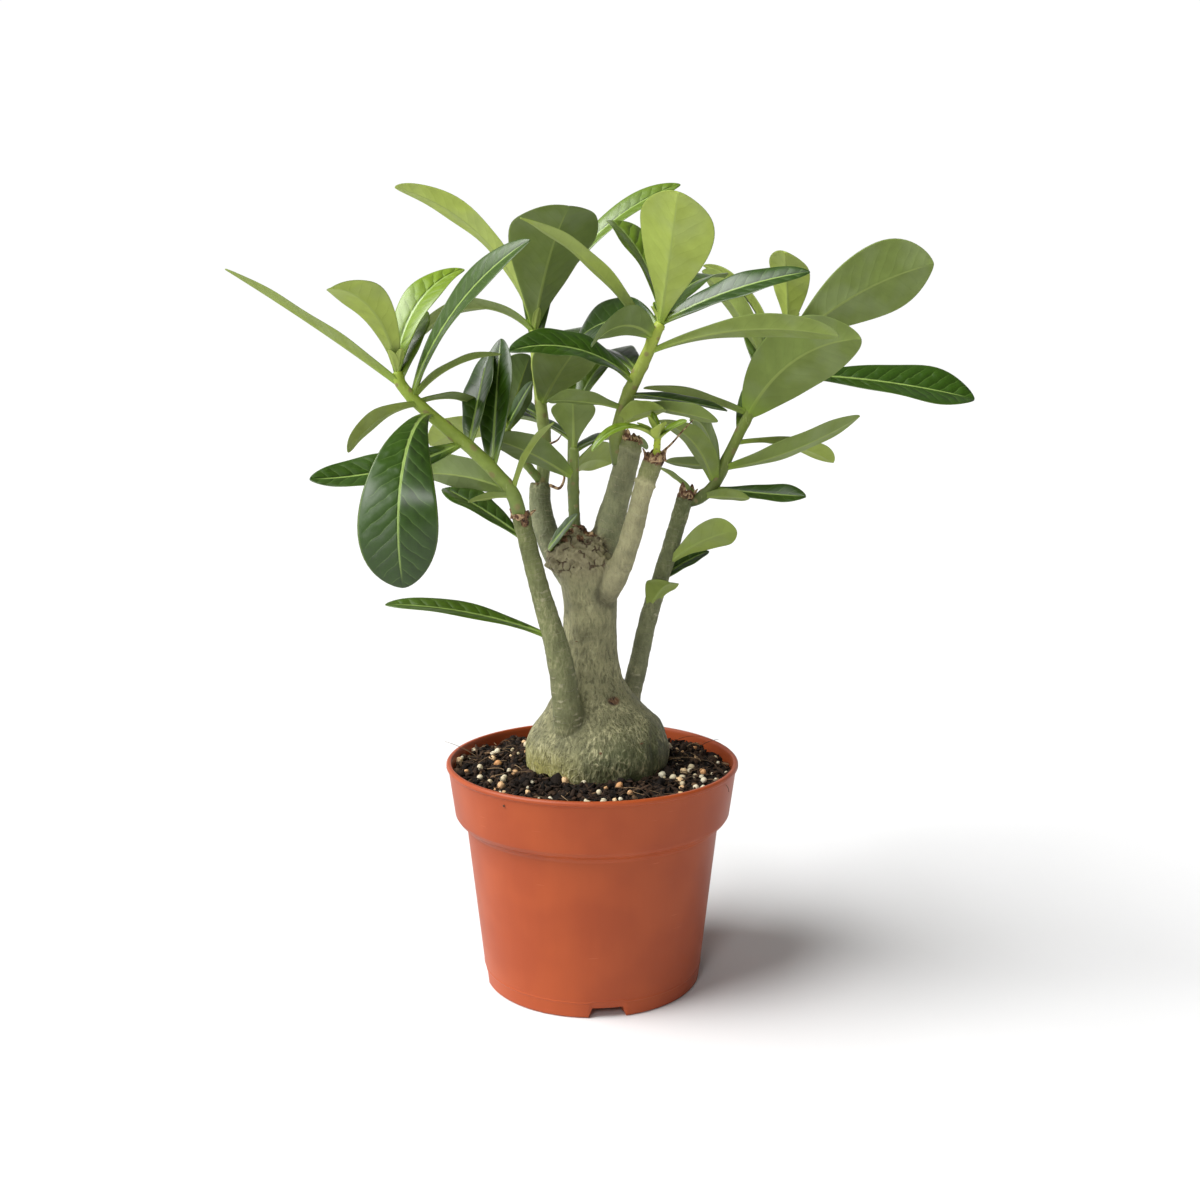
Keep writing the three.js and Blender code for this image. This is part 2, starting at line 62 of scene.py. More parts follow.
# Outside, the points beyond the first of these radii belong to the foot, and beyond the second to the wall.
FOOT_FROM = 36
WALL_FROM = 42


def fill_mesh(name, points, *faces):
    """A smooth-shaded mesh in metres, from points in millimetres and arrays of faces, each with three or four
    corners."""
    mesh = bpy.data.meshes.new(name)
    corners = np.concatenate([group.ravel() for group in faces]).astype(np.int32)
    sizes = np.concatenate([np.full(len(group), group.shape[1]) for group in faces])
    mesh.vertices.add(len(points))
    mesh.vertices.foreach_set("co", (points * 0.001).astype(np.float32).ravel())
    mesh.loops.add(len(corners))
    mesh.loops.foreach_set("vertex_index", corners)
    mesh.polygons.add(len(sizes))
    mesh.polygons.foreach_set("loop_start", (np.cumsum(sizes) - sizes).astype(np.int32))
    mesh.update(calc_edges=True)
    mesh.polygons.foreach_set("use_smooth", np.ones(len(sizes), bool))
    return mesh


def skins(name, rings, **fields):
    """One mesh of closed skins. The rings are points in millimetres, as [skin, ring, place around, xyz], and
    each ring runs counter-clockwise about the way to the next. Both ends are closed on the mean of their
    ring. Each field is a number, or a colour of four, for every point, and becomes an attribute."""
    count, rows, around = rings.shape[:3]
    ends = rings[:, [0, -1]].mean(axis=2)
    points = np.concatenate([rings.reshape(count, -1, 3), ends], axis=1).reshape(-1, 3)
    row, column = np.meshgrid(np.arange(rows - 1), np.arange(around), indexing="ij")
    here = row * around + column
    beside = row * around + (column + 1) % around
    walls = np.stack([here, beside, beside + around, here + around], axis=-1).reshape(-1, 4)
    column = np.arange(around)
    turned = (column + 1) % around
    last = (rows - 1) * around
    foot = np.stack([np.full(around, rows * around), turned, column], axis=-1)
    head = np.stack([np.full(around, rows * around + 1), last + column, last + turned], axis=-1)
    shift = (np.arange(count) * (rows * around + 2))[:, None, None]
    walls = (walls + shift).reshape(-1, 4)
    caps = (np.concatenate([foot, head]) + shift).reshape(-1, 3)
    mesh = fill_mesh(name, points, walls, caps)
    for key, values in fields.items():
        depth = 4 if values.ndim == 4 else 1
        whole = np.broadcast_to(values.reshape(*values.shape[:3], -1), (count, rows, around, depth))
        edge = whole[:, [0, -1]].mean(axis=2)
        whole = np.concatenate([whole.reshape(count, -1, depth), edge], axis=1)
        paint_field(mesh, key, whole.reshape(-1, depth))
    return mesh


def paint_field(mesh, key, values):
    """An attribute on the mesh's points: a number for each, or a colour of four."""
    colour = values.shape[1] == 4
    attribute = mesh.attributes.new(key, "FLOAT_COLOR" if colour else "FLOAT", "POINT")
    attribute.data.foreach_set("color" if colour else "value", values.astype(np.float32).ravel())


def put(name, mesh, material):
    """The mesh as an object of the scene, at the origin, in that material."""
    piece = bpy.data.objects.new(name, mesh)
    bpy.context.scene.collection.objects.link(piece)
    mesh.materials.clear()
    mesh.materials.append(material)
    return piece


def skinned(name, rings, material, **fields):
    """The closed skins on those rings as an object of the scene, in that material."""
    return put(name, skins(name, rings, **fields), material)


def ramp(values, start, end):
    """0 up to the start and 1 from the end on, in proportion between them."""
    return np.clip((values - start) / (end - start), 0, 1)


def full_turn(count):
    """Angles in even steps round a whole turn."""
    return np.linspace(0, 2 * np.pi, count, endpoint=False)


def lathe(radius, turn, height):
    """The rings of one skin, from the radius and height of each ring turned about +Z."""
    return np.stack([radius * np.cos(turn), radius * np.sin(turn), height], axis=-1)[None]


def rounded(corners, cut):
    """A profile with rounded corners: corner b becomes the curve (1-t)²a + 2t(1-t)b + t²c, where a and c
    lie `cut` before and after it. A point is held as far again beyond them, so that the flats shade flat."""
    corners = np.array(corners, float)
    corner = corners[1:-1]
    back = corners[:-2] - corner
    ahead = corners[2:] - corner
    back_long = np.linalg.norm(back, axis=1, keepdims=True)
    ahead_long = np.linalg.norm(ahead, axis=1, keepdims=True)
    back *= np.minimum(cut, back_long / 4.5) / back_long
    ahead *= np.minimum(cut, ahead_long / 4.5) / ahead_long
    t = np.linspace(0, 1, CORNER_STEPS)[None, :, None]
    start = (corner + back)[:, None]
    end = (corner + ahead)[:, None]
    bend = (1 - t) ** 2 * start + 2 * t * (1 - t) * corner[:, None] + t**2 * end
    held = [(corner + 2 * back)[:, None], bend, (corner + 2 * ahead)[:, None]]
    return np.vstack([corners[:1], np.concatenate(held, axis=1).reshape(-1, 2), corners[-1:]])


def pot_rings():
    """The pot's profile turned about +Z. In each notch the underside is raised to the notch's height, and the
    lowest part of the outside wall is squeezed above it, in proportion to the height."""
    below = len(POT_UNDERSIDE) + len(POT_OUTSIDE)
    profile = rounded(POT_UNDERSIDE + POT_OUTSIDE + POT_INSIDE, 0.35)
    outer = np.arange(len(profile)) < 1 + (CORNER_STEPS + 2) * (below - 1)
    half = np.array([NOTCH_FOOT_HALF, NOTCH_TOP_HALF, -NOTCH_TOP_HALF, -NOTCH_FOOT_HALF]) / FOOT_RADIUS
    centres = np.radians(NOTCH_TURN + 90 * np.arange(4))
    edges = (centres[:, None] + half).ravel()
    turn = np.unique(np.round(np.concatenate([full_turn(POT_COLUMNS), edges]) % (2 * np.pi), 6))
    off = np.abs((turn[:, None] - centres + np.pi) % (2 * np.pi) - np.pi).min(axis=1) * FOOT_RADIUS
    raised = NOTCH_HEIGHT * ramp(off, NOTCH_FOOT_HALF, NOTCH_TOP_HALF)
    radius = profile[:, :1]
    height = np.broadcast_to(profile[:, 1:], (len(profile), len(turn)))
    squeezed = raised + height * (1 - raised / SQUEEZED_HEIGHT)
    wall = np.where(height < SQUEEZED_HEIGHT, squeezed, height)
    foot = np.where(radius > FOOT_FROM, np.maximum(height, raised), height)
    notched = np.where(radius > WALL_FROM, wall, foot)
    return lathe(radius, turn, np.where(outer[:, None], notched, height))


def apply_modifiers(piece):
    """Works the piece's modifiers into its mesh."""
    shaped = bpy.data.meshes.new_from_object(piece.evaluated_get(bpy.context.evaluated_depsgraph_get()))
    piece.modifiers.clear()
    piece.data = shaped


class Socket:
    """A node's output in a finish. Arithmetic on sockets adds Math nodes, and node() adds any other node."""

    def __init__(self, tree, source):
        self.tree = tree
        self.source = source

    def node(self, kind, settings, links, out=0):
        """Adds a node of that kind. Its settings come first, then the values or links of its inputs."""
        made = self.tree.nodes.new("ShaderNode" + kind)
        for key, value in settings.items():
            setattr(made, key, value)
        for key, value in links.items():
            if isinstance(value, Socket):
                self.tree.links.new(value.source, made.inputs[key])
            else:
                made.inputs[key].default_value = value
        return Socket(self.tree, made.outputs[out])

    def field(self, key, out=2):
        """The number that the mesh carries under that name, or with out=0 the colour."""
        return self.node("Attribute", {"attribute_name": key}, {}, out)

    def maths(self, operation, first, second=0.0):
        """Adds a Math node for that operation on one or two values."""
        return self.node("Math", {"operation": operation}, {0: first, 1: second})

    def __add__(self, other):
        return self.maths("ADD", self, other)

    def __radd__(self, other):
        return self.maths("ADD", other, self)

    def __sub__(self, other):
        return self.maths("SUBTRACT", self, other)

    def __rsub__(self, other):
        return self.maths("SUBTRACT", other, self)

    def __mul__(self, other):
        return self.maths("MULTIPLY", self, other)

    def __rmul__(self, other):
        return self.maths("MULTIPLY", other, self)

    def __truediv__(self, other):
        return self.maths("DIVIDE", self, other)

    def __abs__(self):
        return self.maths("ABSOLUTE", self)

    def into(self, shader, name):
        """Links this socket to the shader's input of that name."""
        self.tree.links.new(self.source, shader.inputs[name])


def new_finish(name, **constants):
    """A material, its shader with the constants set on it, and the Object coordinates to draw on."""
    material = bpy.data.materials.new(name)
    material.use_nodes = True
    tree = material.node_tree
    shader = tree.nodes["Principled BSDF"]
    for key, value in constants.items():
        shader.inputs[key.replace("_", " ")].default_value = value
    return material, shader, Socket(tree, tree.nodes.new("ShaderNodeTexCoord").outputs["Object"])


def dye(red, green, blue):
    """A colour as a screen shows it, from 0 to 255, in the linear values that the shader takes."""
    screen = np.array([red, green, blue]) / 255
    linear = np.where(screen <= 0.04045, screen / 12.92, ((screen + 0.055) / 1.055) ** 2.4)
    return (*linear, 1.0)


def scaled(place, size, stretch):
    """The coordinates with `size` millimetres as their unit, or more along the axes that are stretched."""
    return place.node("Mapping", {}, {"Vector": place, "Scale": [1000 / size / axis for axis in stretch]})


def grain(place, size, detail=3.0, stretch=(1, 1, 1)):
    """Noise from 0 to 1 with lumps of about `size` millimetres, longer along the axes that are stretched."""
    links = {"Vector": scaled(place, size, stretch), "Scale": 1.0, "Detail": detail}
    return place.node("TexNoise", {}, links)


def cells(place, size, feature="F1", stretch=(1, 1, 1)):
    """Distance, in cells, to the nearest of scattered points about `size` millimetres apart, or with
    another feature to the edge between two cells."""
    links = {"Vector": scaled(place, size, stretch), "Scale": 1.0}
    return place.node("TexVoronoi", {"feature": feature}, links)


def rise(value, low, high):
    """0 below low and 1 above high, with a smooth step between them."""
    links = {"Value": value, "From Min": low, "From Max": high}
    return value.node("MapRange", {"interpolation_type": "SMOOTHSTEP"}, links)


def tint(first, second, share):
    """The first colour, changed towards the second by the share."""
    return share.node("Mix", {"data_type": "RGBA"}, {0: share, 6: first, 7: second}, out=2)


def shade(colour, value):
    """The colour made brighter or darker by the value."""
    plain = colour[:3] if isinstance(colour, tuple) else colour
    return value.node("VectorMath", {"operation": "SCALE"}, {0: plain, "Scale": value})


def relief(height, depth):
    """A normal from a height of 0 to 1, whose full height is `depth` millimetres."""
    return height.node("Bump", {}, {"Strength": 1.0, "Distance": depth * 0.001, "Height": height})


plastic, shader, place = new_finish("pot_plastic", Specular_IOR_Level=0.3)
height = place.node("SeparateXYZ", {}, {"Vector": place}, out=2)
flat = place.node("VectorMath", {"operation": "MULTIPLY"}, {0: place, 1: (1, 1, 0)})
radius = flat.node("VectorMath", {"operation": "LENGTH"}, {0: flat}, out=1)
inside = 1 - rise(radius - height * MIDWALL_SLOPE, MIDWALL_RADIUS * 0.001, MIDWALL_RADIUS * 0.001 + 0.001)
cloud = grain(place, 26, 2)
flow = grain(place, 3, 3, (1, 1, 14))
low_wall = rise(height, 0.0745, 0.0765) * (1 - rise(height, 0.086, 0.0905))
dust = rise(grain(place, 1.6, 5), 0.52, 0.72) * inside * low_wall
scratch = rise(grain(place, 0.55, 2, (26, 26, 1)), 0.69, 0.74) * rise(grain(place, 9, 1), 0.55, 0.62)
speck = (1 - rise(cells(place, 9), 0.01, 0.03)) * rise(grain(place, 14, 0), 0.54, 0.6)
speck = speck * rise(height, 0.073, 0.076)
colour = tint(dye(164, 74, 34), dye(156, 68, 31), rise(cloud, 0.35, 0.65))
colour = shade(colour, 0.96 + flow * 0.08)
colour = tint(colour, dye(196, 112, 80), scratch * 0.4)
colour = tint(colour, dye(78, 50, 36), dust * 0.8)
colour = tint(colour, dye(118, 58, 34), speck * 0.4)
colour.into(shader, "Base Color")
(0.4 + cloud * 0.1 + scratch * 0.15 + dust * 0.3).into(shader, "Roughness")
relief(grain(place, 0.7, 2) * 0.6 + flow * 0.4, 0.012).into(shader, "Normal")

pot = skinned("pot_shell", pot_rings(), plastic)
pot.data.set_sharp_from_angle(angle=np.radians(38))
turn = 2 * np.pi * (np.arange(DRAIN_COUNT) + 0.5) / DRAIN_COUNT
bore = full_turn(28)
bore_x = DRAIN_RING * np.cos(turn)[:, None, None] + DRAIN_RADIUS * np.cos(bore)
bore_y = DRAIN_RING * np.sin(turn)[:, None, None] + DRAIN_RADIUS * np.sin(bore)
bore_z = np.array(DRAIN_HEIGHTS)[None, :, None]
drains = skinned("drains", np.stack(np.broadcast_arrays(bore_x, bore_y, bore_z), axis=-1), plastic)
drilled = pot.modifiers.new("drilled", "BOOLEAN")
drilled.object = drains
drilled.solver = "EXACT"
apply_modifiers(pot)
bpy.data.objects.remove(drains)
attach(pot, "root")
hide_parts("pot")

# The soil is a dark peat mix, filled loosely to half a centimetre below the rim and risen a little round the
# bulb. Crumbs of peat and slivers of bark lie on it, with perlite beads, grit and hair roots among them.
SOIL_SIDE = [[0.5, 6.3], [41.9, 6.3], [43.1, 7.5], [50.3, 67.6], [54.9, 72.7], [57.0, 86.5]]
SOIL_EDGE_HEIGHT = 88
SOIL_RISE = 3
DOME_RADIUS = 54
TOP_RADIUS = 57.2
SOIL_REACH = 56.6
BULB_REACH = 28.6
CRUMBS = 2400
SLIVERS = 260
BEADS = 80
GRIT = 46
HAIRS = 150
HAIR_INNER = 30.5
HAIR_OUTER = 52


def ripple(points, size, seed, waves=8):
    """Smooth seeded noise of about -1 to 1: the sum of sines along random ways, with waves of that size."""
    dice = np.random.default_rng(seed)
    ways = dice.normal(size=(points.shape[-1], waves))
    ways *= 2 * np.pi / size * dice.uniform(0.7, 1.4, waves) / np.linalg.norm(ways, axis=0)
    return np.sin(points @ ways + dice.uniform(0, 2 * np.pi, waves)).sum(axis=-1) / waves**0.5


def bed_height(x, y):
    """The soil's height: a low dome over the radius, with clods from seeded noise."""
    radius = np.hypot(x, y)
    spots = np.stack([x, y], axis=-1)
    clods = 0.75 * ripple(spots, 15, 3) + 0.45 * ripple(spots, 6, 4)
    return SOIL_EDGE_HEIGHT + SOIL_RISE * (1 - (radius / DOME_RADIUS) ** 2) + clods * ramp(radius, 0, 8)


def bed_rings():
    """The soil's side profile turned about +Z, then rings that close over the domed top."""
    turn = full_turn(180)
    side = rounded(SOIL_SIDE, 0.6)
    side_height = np.broadcast_to(side[:, 1:], (len(side), len(turn)))
    reach = np.linspace(TOP_RADIUS, 0.6, 46)[:, None]
    radius = np.concatenate([side[:, :1], reach])
    top_height = bed_height(reach * np.cos(turn), reach * np.sin(turn))
    return lathe(radius, turn, np.concatenate([side_height, top_height]))


def strewn(count, dice, inner=BULB_REACH, outer=SOIL_REACH):
    """Random places on the soil between two radii, evenly by area, at the soil's height."""
    radius = np.sqrt(dice.uniform(inner**2, outer**2, count))
    turn = dice.uniform(0, 2 * np.pi, count)
    x = radius * np.cos(turn)
    y = radius * np.sin(turn)
    return np.stack([x, y, bed_height(x, y)], axis=-1)


def unit(vectors):
    """The vectors, each brought to length 1."""
    return vectors / np.linalg.norm(vectors, axis=-1, keepdims=True)


def lumps(centres, sizes, dice, rows, around, rough, lie=0.0):
    """Closed lumps: balls whose radius varies by the share `rough` with random sines, stretched to three
    half sizes each and turned at random. `lie` from 0 to 1 keeps their long sides level."""
    count = len(centres)
    polar = np.linspace(np.pi - 0.35, 0.35, rows)[:, None]
    turn = full_turn(around)
    ball = np.stack(
        [np.sin(polar) * np.cos(turn), np.sin(polar) * np.sin(turn), np.cos(polar) + 0 * turn], axis=-1
    )
    ways = dice.normal(size=(count, 3, 5)) * 2.6
    phase = dice.uniform(0, 2 * np.pi, (count, 1, 1, 5))
    swell = np.sin(np.einsum("rki,cij->crkj", ball, ways) + phase).mean(axis=-1)
    shaped = ball * (1 + rough * 1.6 * swell)[..., None] * sizes[:, None, None]
    spin = dice.normal(size=(count, 4))
    spin[:, 1:3] *= 1 - lie
    w, i, j, k = unit(spin).T
    turned = np.array(
        [
            [1 - 2 * (j * j + k * k), 2 * (i * j - k * w), 2 * (i * k + j * w)],
            [2 * (i * j + k * w), 1 - 2 * (i * i + k * k), 2 * (j * k - i * w)],
            [2 * (i * k - j * w), 2 * (j * k + i * w), 1 - 2 * (i * i + j * j)],
        ]
    )
    return centres[:, None, None] + np.einsum("abc,crkb->crka", turned, shaped)


peat, shader, place = new_finish("peat", Specular_IOR_Level=0.25)
tone = place.field("tone")
speckle = grain(place, 0.8, 5)
colour = tint(dye(20, 14, 10), dye(70, 52, 38), rise(tone * 0.75 + speckle * 0.5, 0.25, 1.05))
colour = tint(colour, dye(132, 104, 76), rise(tone, 0.93, 1.0) * 0.8)
colour.into(shader, "Base Color")
(0.78 + speckle * 0.2).into(shader, "Roughness")
relief(speckle * 0.7 + grain(place, 0.3, 2) * 0.3, 0.5).into(shader, "Normal")

bed = skinned("soil_bed", bed_rings(), peat, tone=np.full((1, 1, 1), 0.08))
dice = np.random.default_rng(11)
crumb_sizes = dice.uniform(0.6, 1.2, (CRUMBS, 3)) * dice.lognormal(-0.1, 0.34, (CRUMBS, 1))
crumb_places = strewn(CRUMBS, dice)
crumb_places[:, 2] += dice.uniform(-0.3, 1.1, CRUMBS)
crumb_tones = dice.uniform(0, 1, (CRUMBS, 1, 1)) ** 1.5
crumb_rings = lumps(crumb_places, crumb_sizes, dice, 5, 8, 0.42)
crumbs = skinned("soil_crumbs", crumb_rings, peat, tone=crumb_tones)

sliver_long = dice.uniform(1.5, 3.8, SLIVERS)
sliver_wide = dice.uniform(0.35, 0.75, SLIVERS)
sliver_thick = dice.uniform(0.2, 0.45, SLIVERS)
sliver_sizes = np.stack([sliver_long, sliver_wide, sliver_thick], axis=-1)
sliver_places = strewn(SLIVERS, dice)
sliver_places[:, 2] += dice.uniform(0.8, 1.9, SLIVERS)
sliver_tones = dice.uniform(0.2, 1.02, (SLIVERS, 1, 1))
sliver_rings = lumps(sliver_places, sliver_sizes, dice, 6, 7, 0.25, 0.8)
slivers = skinned("soil_slivers", sliver_rings, peat, tone=sliver_tones)

perlite, shader, place = new_finish("perlite", Specular_IOR_Level=0.3)
tone = place.field("tone")
pit = grain(place, 0.5, 4)
colour = tint(dye(226, 218, 192), dye(196, 178, 140), tone)
colour = tint(colour, dye(120, 100, 74), rise(grain(place, 1.1, 3), 0.58, 0.72) * 0.6)
colour.into(shader, "Base Color")
(0.75 + pit * 0.2).into(shader, "Roughness")
relief(pit, 0.12).into(shader, "Normal")
bead_places = strewn(BEADS, dice)
bead_radius = dice.uniform(0.5, 1.45, (BEADS, 1))
bead_places[:, 2] += 1.0 + bead_radius[:, 0] * 0.4
bead_sizes = bead_radius * dice.uniform(0.85, 1.1, (BEADS, 3))
bead_rings = lumps(bead_places, bead_sizes, dice, 8, 12, 0.12)
beads = skinned("soil_perlite", bead_rings, perlite, tone=dice.uniform(0, 1, (BEADS, 1, 1)))

stone, shader, place = new_finish("grit", Specular_IOR_Level=0.4)
tone = place.field("tone")
fleck = grain(place, 0.7, 4)
colour = tint(dye(206, 150, 96), dye(232, 206, 160), tone)
colour = tint(colour, dye(150, 92, 56), rise(fleck, 0.52, 0.7))
colour.into(shader, "Base Color")
(0.5 + fleck * 0.3).into(shader, "Roughness")
relief(fleck, 0.1).into(shader, "Normal")
grit_places = strewn(GRIT, dice)
grit_radius = dice.uniform(0.7, 1.75, (GRIT, 1))
grit_places[:, 2] += 0.8 + grit_radius[:, 0] * 0.35
grit_sizes = grit_radius * dice.uniform(0.8, 1.15, (GRIT, 3))
grit_rings = lumps(grit_places, grit_sizes, dice, 8, 12, 0.22)
grit = skinned("soil_grit", grit_rings, stone, tone=dice.uniform(0, 1, (GRIT, 1, 1)))


def hairs(starts, dice, rows, around):
    """Thin round threads: the way of each bends evenly from its start, level by a random turn and up by a
    random arch, and circles of its radius are carried along it, narrowing to the tip."""
    count = len(starts)
    share = np.linspace(0, 1, rows)
    long = dice.uniform(6, 17, (count, 1))
    turn = dice.uniform(0, 2 * np.pi, (count, 1)) + dice.uniform(-1.8, 1.8, (count, 1)) * share
    lift = dice.uniform(0.0, 0.6, (count, 1)) - dice.uniform(0.2, 1.1, (count, 1)) * share
    way = np.stack([np.cos(lift) * np.cos(turn), np.cos(lift) * np.sin(turn), np.sin(lift)], axis=-1)
    centre = starts[:, None] + np.cumsum(way, axis=1) * (long / rows)[..., None]
    radius = dice.uniform(0.1, 0.24, (count, 1)) * (1 - 0.6 * share)
    side = unit(np.cross(way, [0.0, 0.0, 1.0]))
    up = np.cross(side, way)
    angle = full_turn(around)[:, None]
    ring = side[:, :, None] * -np.cos(angle) + up[:, :, None] * np.sin(angle)
    return centre[:, :, None] + ring * radius[..., None, None]


root_hair, shader, place = new_finish("root_hair", Specular_IOR_Level=0.3)
tone = place.field("tone")
tint(dye(52, 36, 26), dye(150, 124, 92), rise(tone, 0.3, 1.0)).into(shader, "Base Color")
(0.7 + grain(place, 0.6, 2) * 0.2).into(shader, "Roughness")
hair_starts = strewn(HAIRS, dice, HAIR_INNER, HAIR_OUTER)
hair_starts[:, 2] += dice.uniform(0.9, 1.6, HAIRS)
hair_rings = hairs(hair_starts, dice, 12, 5)
threads = skinned("soil_hairs", hair_rings, root_hair, tone=dice.uniform(0, 1, (HAIRS, 1, 1)))

for piece in (bed, crumbs, slivers, beads, grit, threads):
    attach(piece, "root")
    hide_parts("soil")

# The caudex is the swollen, bark-covered base of the plant, grown as one piece: a bulb that narrows to the
# trunk, a head of pruned knobs, and the woody branches that grew from them and were cut back. A trunk row is
# place, height and radius, a knob row place and radius, and a mark row place, reach and strength.
TRUNK = [
    [2, 62, 12], [2, 74, 21], [2, 86, 28], [1.9, 96, 29.8], [2.2, 103, 28.4], [2.7, 109, 25],
    [1.4, 116, 19.2], [0.2, 123, 14.6], [-0.4, 131, 12], [-0.7, 146, 10.9], [-0.7, 158, 10.9],
    [-1.5, 167, 11.6], [-3, 175, 11.6], [-4, 182, 9.4], [-4, 186, 5],
]
# A branch's collar is how far a ring stands out below its cut end, and its cut is how dead that end is.
BRANCHES = {
    "left": {
        "points": [
            [-7, -12, 99], [-9.4, -17.2, 113], [-12.6, -21, 138.6], [-20.2, -22, 166.8], [-24.6, -23, 184.6],
            [-27.5, -24, 197.5],
        ],
        "radii": [6.8, 6.2, 5.2, 4, 3.7, 3.9],
        "foot": dye(120, 121, 88),
        "head": dye(112, 120, 70),
        "collar": 0,
        "cut": 1,
    },
    "right": {
        "points": [[10, 9, 104], [16.6, 12, 118.9], [23.2, 16, 147.9], [31.5, 18, 175.1], [39.2, 20, 201.1]],
        "radii": [5.4, 4.4, 3.9, 3.7, 3.7],
        "foot": dye(126, 126, 98),
        "head": dye(106, 114, 72),
        "collar": 0,
        "cut": 1,
    },
    "pale": {
        "points": [
            [1, -3, 159], [6, -6, 165], [10.3, -8, 172], [15, -11, 185], [20, -13, 204.9], [24.5, -14, 218.6],
        ],
        "radii": [6, 5.9, 4.9, 4.4, 4, 4.3],
        "foot": dye(134, 130, 100),
        "head": dye(162, 158, 118),
        "collar": 1,
        "cut": 1,
    },
    "front": {
        "points": [[0, 2, 170], [4.8, 4, 183], [10.4, 4, 201.4], [14.4, 2, 217.6], [15.9, 2, 224.3]],
        "radii": [7, 6.2, 5.4, 5, 4.7],
        "foot": dye(130, 136, 100),
        "head": dye(148, 148, 112),
        "collar": 0.8,
        "cut": 1,
    },
    "back_left": {
        "points": [[-2, 5, 157], [-8.4, 13, 166], [-17.2, 18, 179.3], [-21.4, 21, 193.5], [-21.8, 22, 205]],
        "radii": [6, 5.8, 5.3, 4.9, 4.4],
        "foot": dye(122, 124, 96),
        "head": dye(114, 120, 86),
        "collar": 0,
        "cut": 0.45,
    },
}
KNOBS = np.array(
    [
        [-13.5, -1, 175, 5.6], [-10, -1.5, 182.5, 5.2], [-6, 0.5, 184.5, 5], [0.5, -3, 181, 5.4],
        [2, 5, 178, 5.6],
    ]
)
MARKS = np.array(
    [
        [9.5, -16, 121, 4.6, 8, 2.6, 0.86], [-18, -24, 104.7, 1.3, 6, 0.5, 0.9],
        [3.4, -29, 102.9, 0.9, 6, 0.7, 0.8], [-6.2, -11, 144, 1.2, 5, 0.6, 0.8],
        [-25.5, -27, 193.5, 2.2, 6, 2.2, 0.9], [20, -22, 105, 1.6, 7, 0.6, 0.7],
    ]
)
COLLAR_DOWN = 10.5
COLLAR_HALF = 0.8
CUT_FADE = 4.5
JOINT_HALF = 0.9
BLEND_REACH = 1.1
CREASE_X = 24.4
CREASE_HALF = 0.8
FLUTES = 5
BARK_VOXEL = 1.22

# Each tinge of the bulb starts at the first of its places along x and heights, and is full at the second.
# The olive tinge adds painted shade to the bulb's right and bottom, and the yellow adds painted light to its
# left.
SHADED_OLIVE_SIDE = (-20, 10)
SHADED_OLIVE_HEIGHT = (116, 96)
LIT_YELLOW_SIDE = (-2, -18)
LIT_YELLOW_HEIGHT = (104, 90)
MOSSY_SIDE = (-6, 8)
MOSSY_HEIGHT = (112, 100)


def curve(points, at):
    """Places on the smooth curve through the points, where place 1.5 is halfway from the second to the
    third. Between two points it is the cubic whose slope at each point is half the step past it."""
    points = np.array(points, float)
    padded = np.vstack([2 * points[0] - points[1], points, 2 * points[-1] - points[-2]])
    lower = np.clip(at.astype(int), 0, len(points) - 2)
    f = (at - lower)[:, None]
    a, b, c, d = (padded[lower + step] for step in range(4))
    leave = (c - a) / 2
    reach = (d - b) / 2
    return (2 * b - 2 * c + leave + reach) * f**3 + (3 * c - 3 * b - 2 * leave - reach) * f**2 + leave * f + b


def stem_rings(points, radii, rows, around):
    """Circles carried along the curve through the points, each square to it, with the radius between two
    points in proportion to the way between them."""
    at = np.linspace(0, len(points) - 1, rows)
    centre = curve(points, at)
    forward = unit(np.gradient(centre, axis=0))
    across = unit(np.cross([0.0, 1.0, 0.0], forward))
    up = np.cross(forward, across)
    radius = np.interp(at, np.arange(len(radii)), radii)[:, None, None]
    turn = full_turn(around)[:, None]
    return (centre[:, None] + radius * (across[:, None] * np.cos(turn) + up[:, None] * np.sin(turn)))[None]


def trunk_rings(rows, around):
    """Level circles up the trunk, on the smooth curve through its stations of place, height and radius."""
    stations = curve(TRUNK, np.linspace(0, len(TRUNK) - 1, rows))
    turn = full_turn(around)
    x = stations[:, :1] + stations[:, 2:] * np.cos(turn)
    y = stations[:, 2:] * np.sin(turn)
    return np.stack([x, y, stations[:, 1:2] + 0 * turn], axis=-1)[None]


def distance_to_branch(points, branch, steps=90):
    """For each point: the distance outside the branch's bark, the share of its length, and its length."""
    at = np.linspace(0, len(branch["points"]) - 1, steps)
    line = curve(branch["points"], at)
    radius = np.interp(at, np.arange(len(branch["radii"])), branch["radii"])
    gap = np.stack([np.linalg.norm(points - spot, axis=1) for spot in line], axis=1)
    nearest = gap.argmin(axis=1)
    length = np.linalg.norm(np.diff(line, axis=0), axis=1).sum()
    return gap.min(axis=1) - radius[nearest], nearest / (steps - 1), length


knob_rings = lumps(KNOBS[:, :3], KNOBS[:, 3:] * np.ones(3), np.random.default_rng(5), 16, 24, 0.1)
parts = [skins("trunk", trunk_rings(60, 72))]
for name, branch in BRANCHES.items():
    parts.append(skins(name, stem_rings(branch["points"], branch["radii"], 60, 28)))
parts.append(skins("knobs", knob_rings))
body = bmesh.new()
for part in parts:
    body.from_mesh(part)
whole = bpy.data.meshes.new("caudex_bark")
body.to_mesh(whole)
body.free()

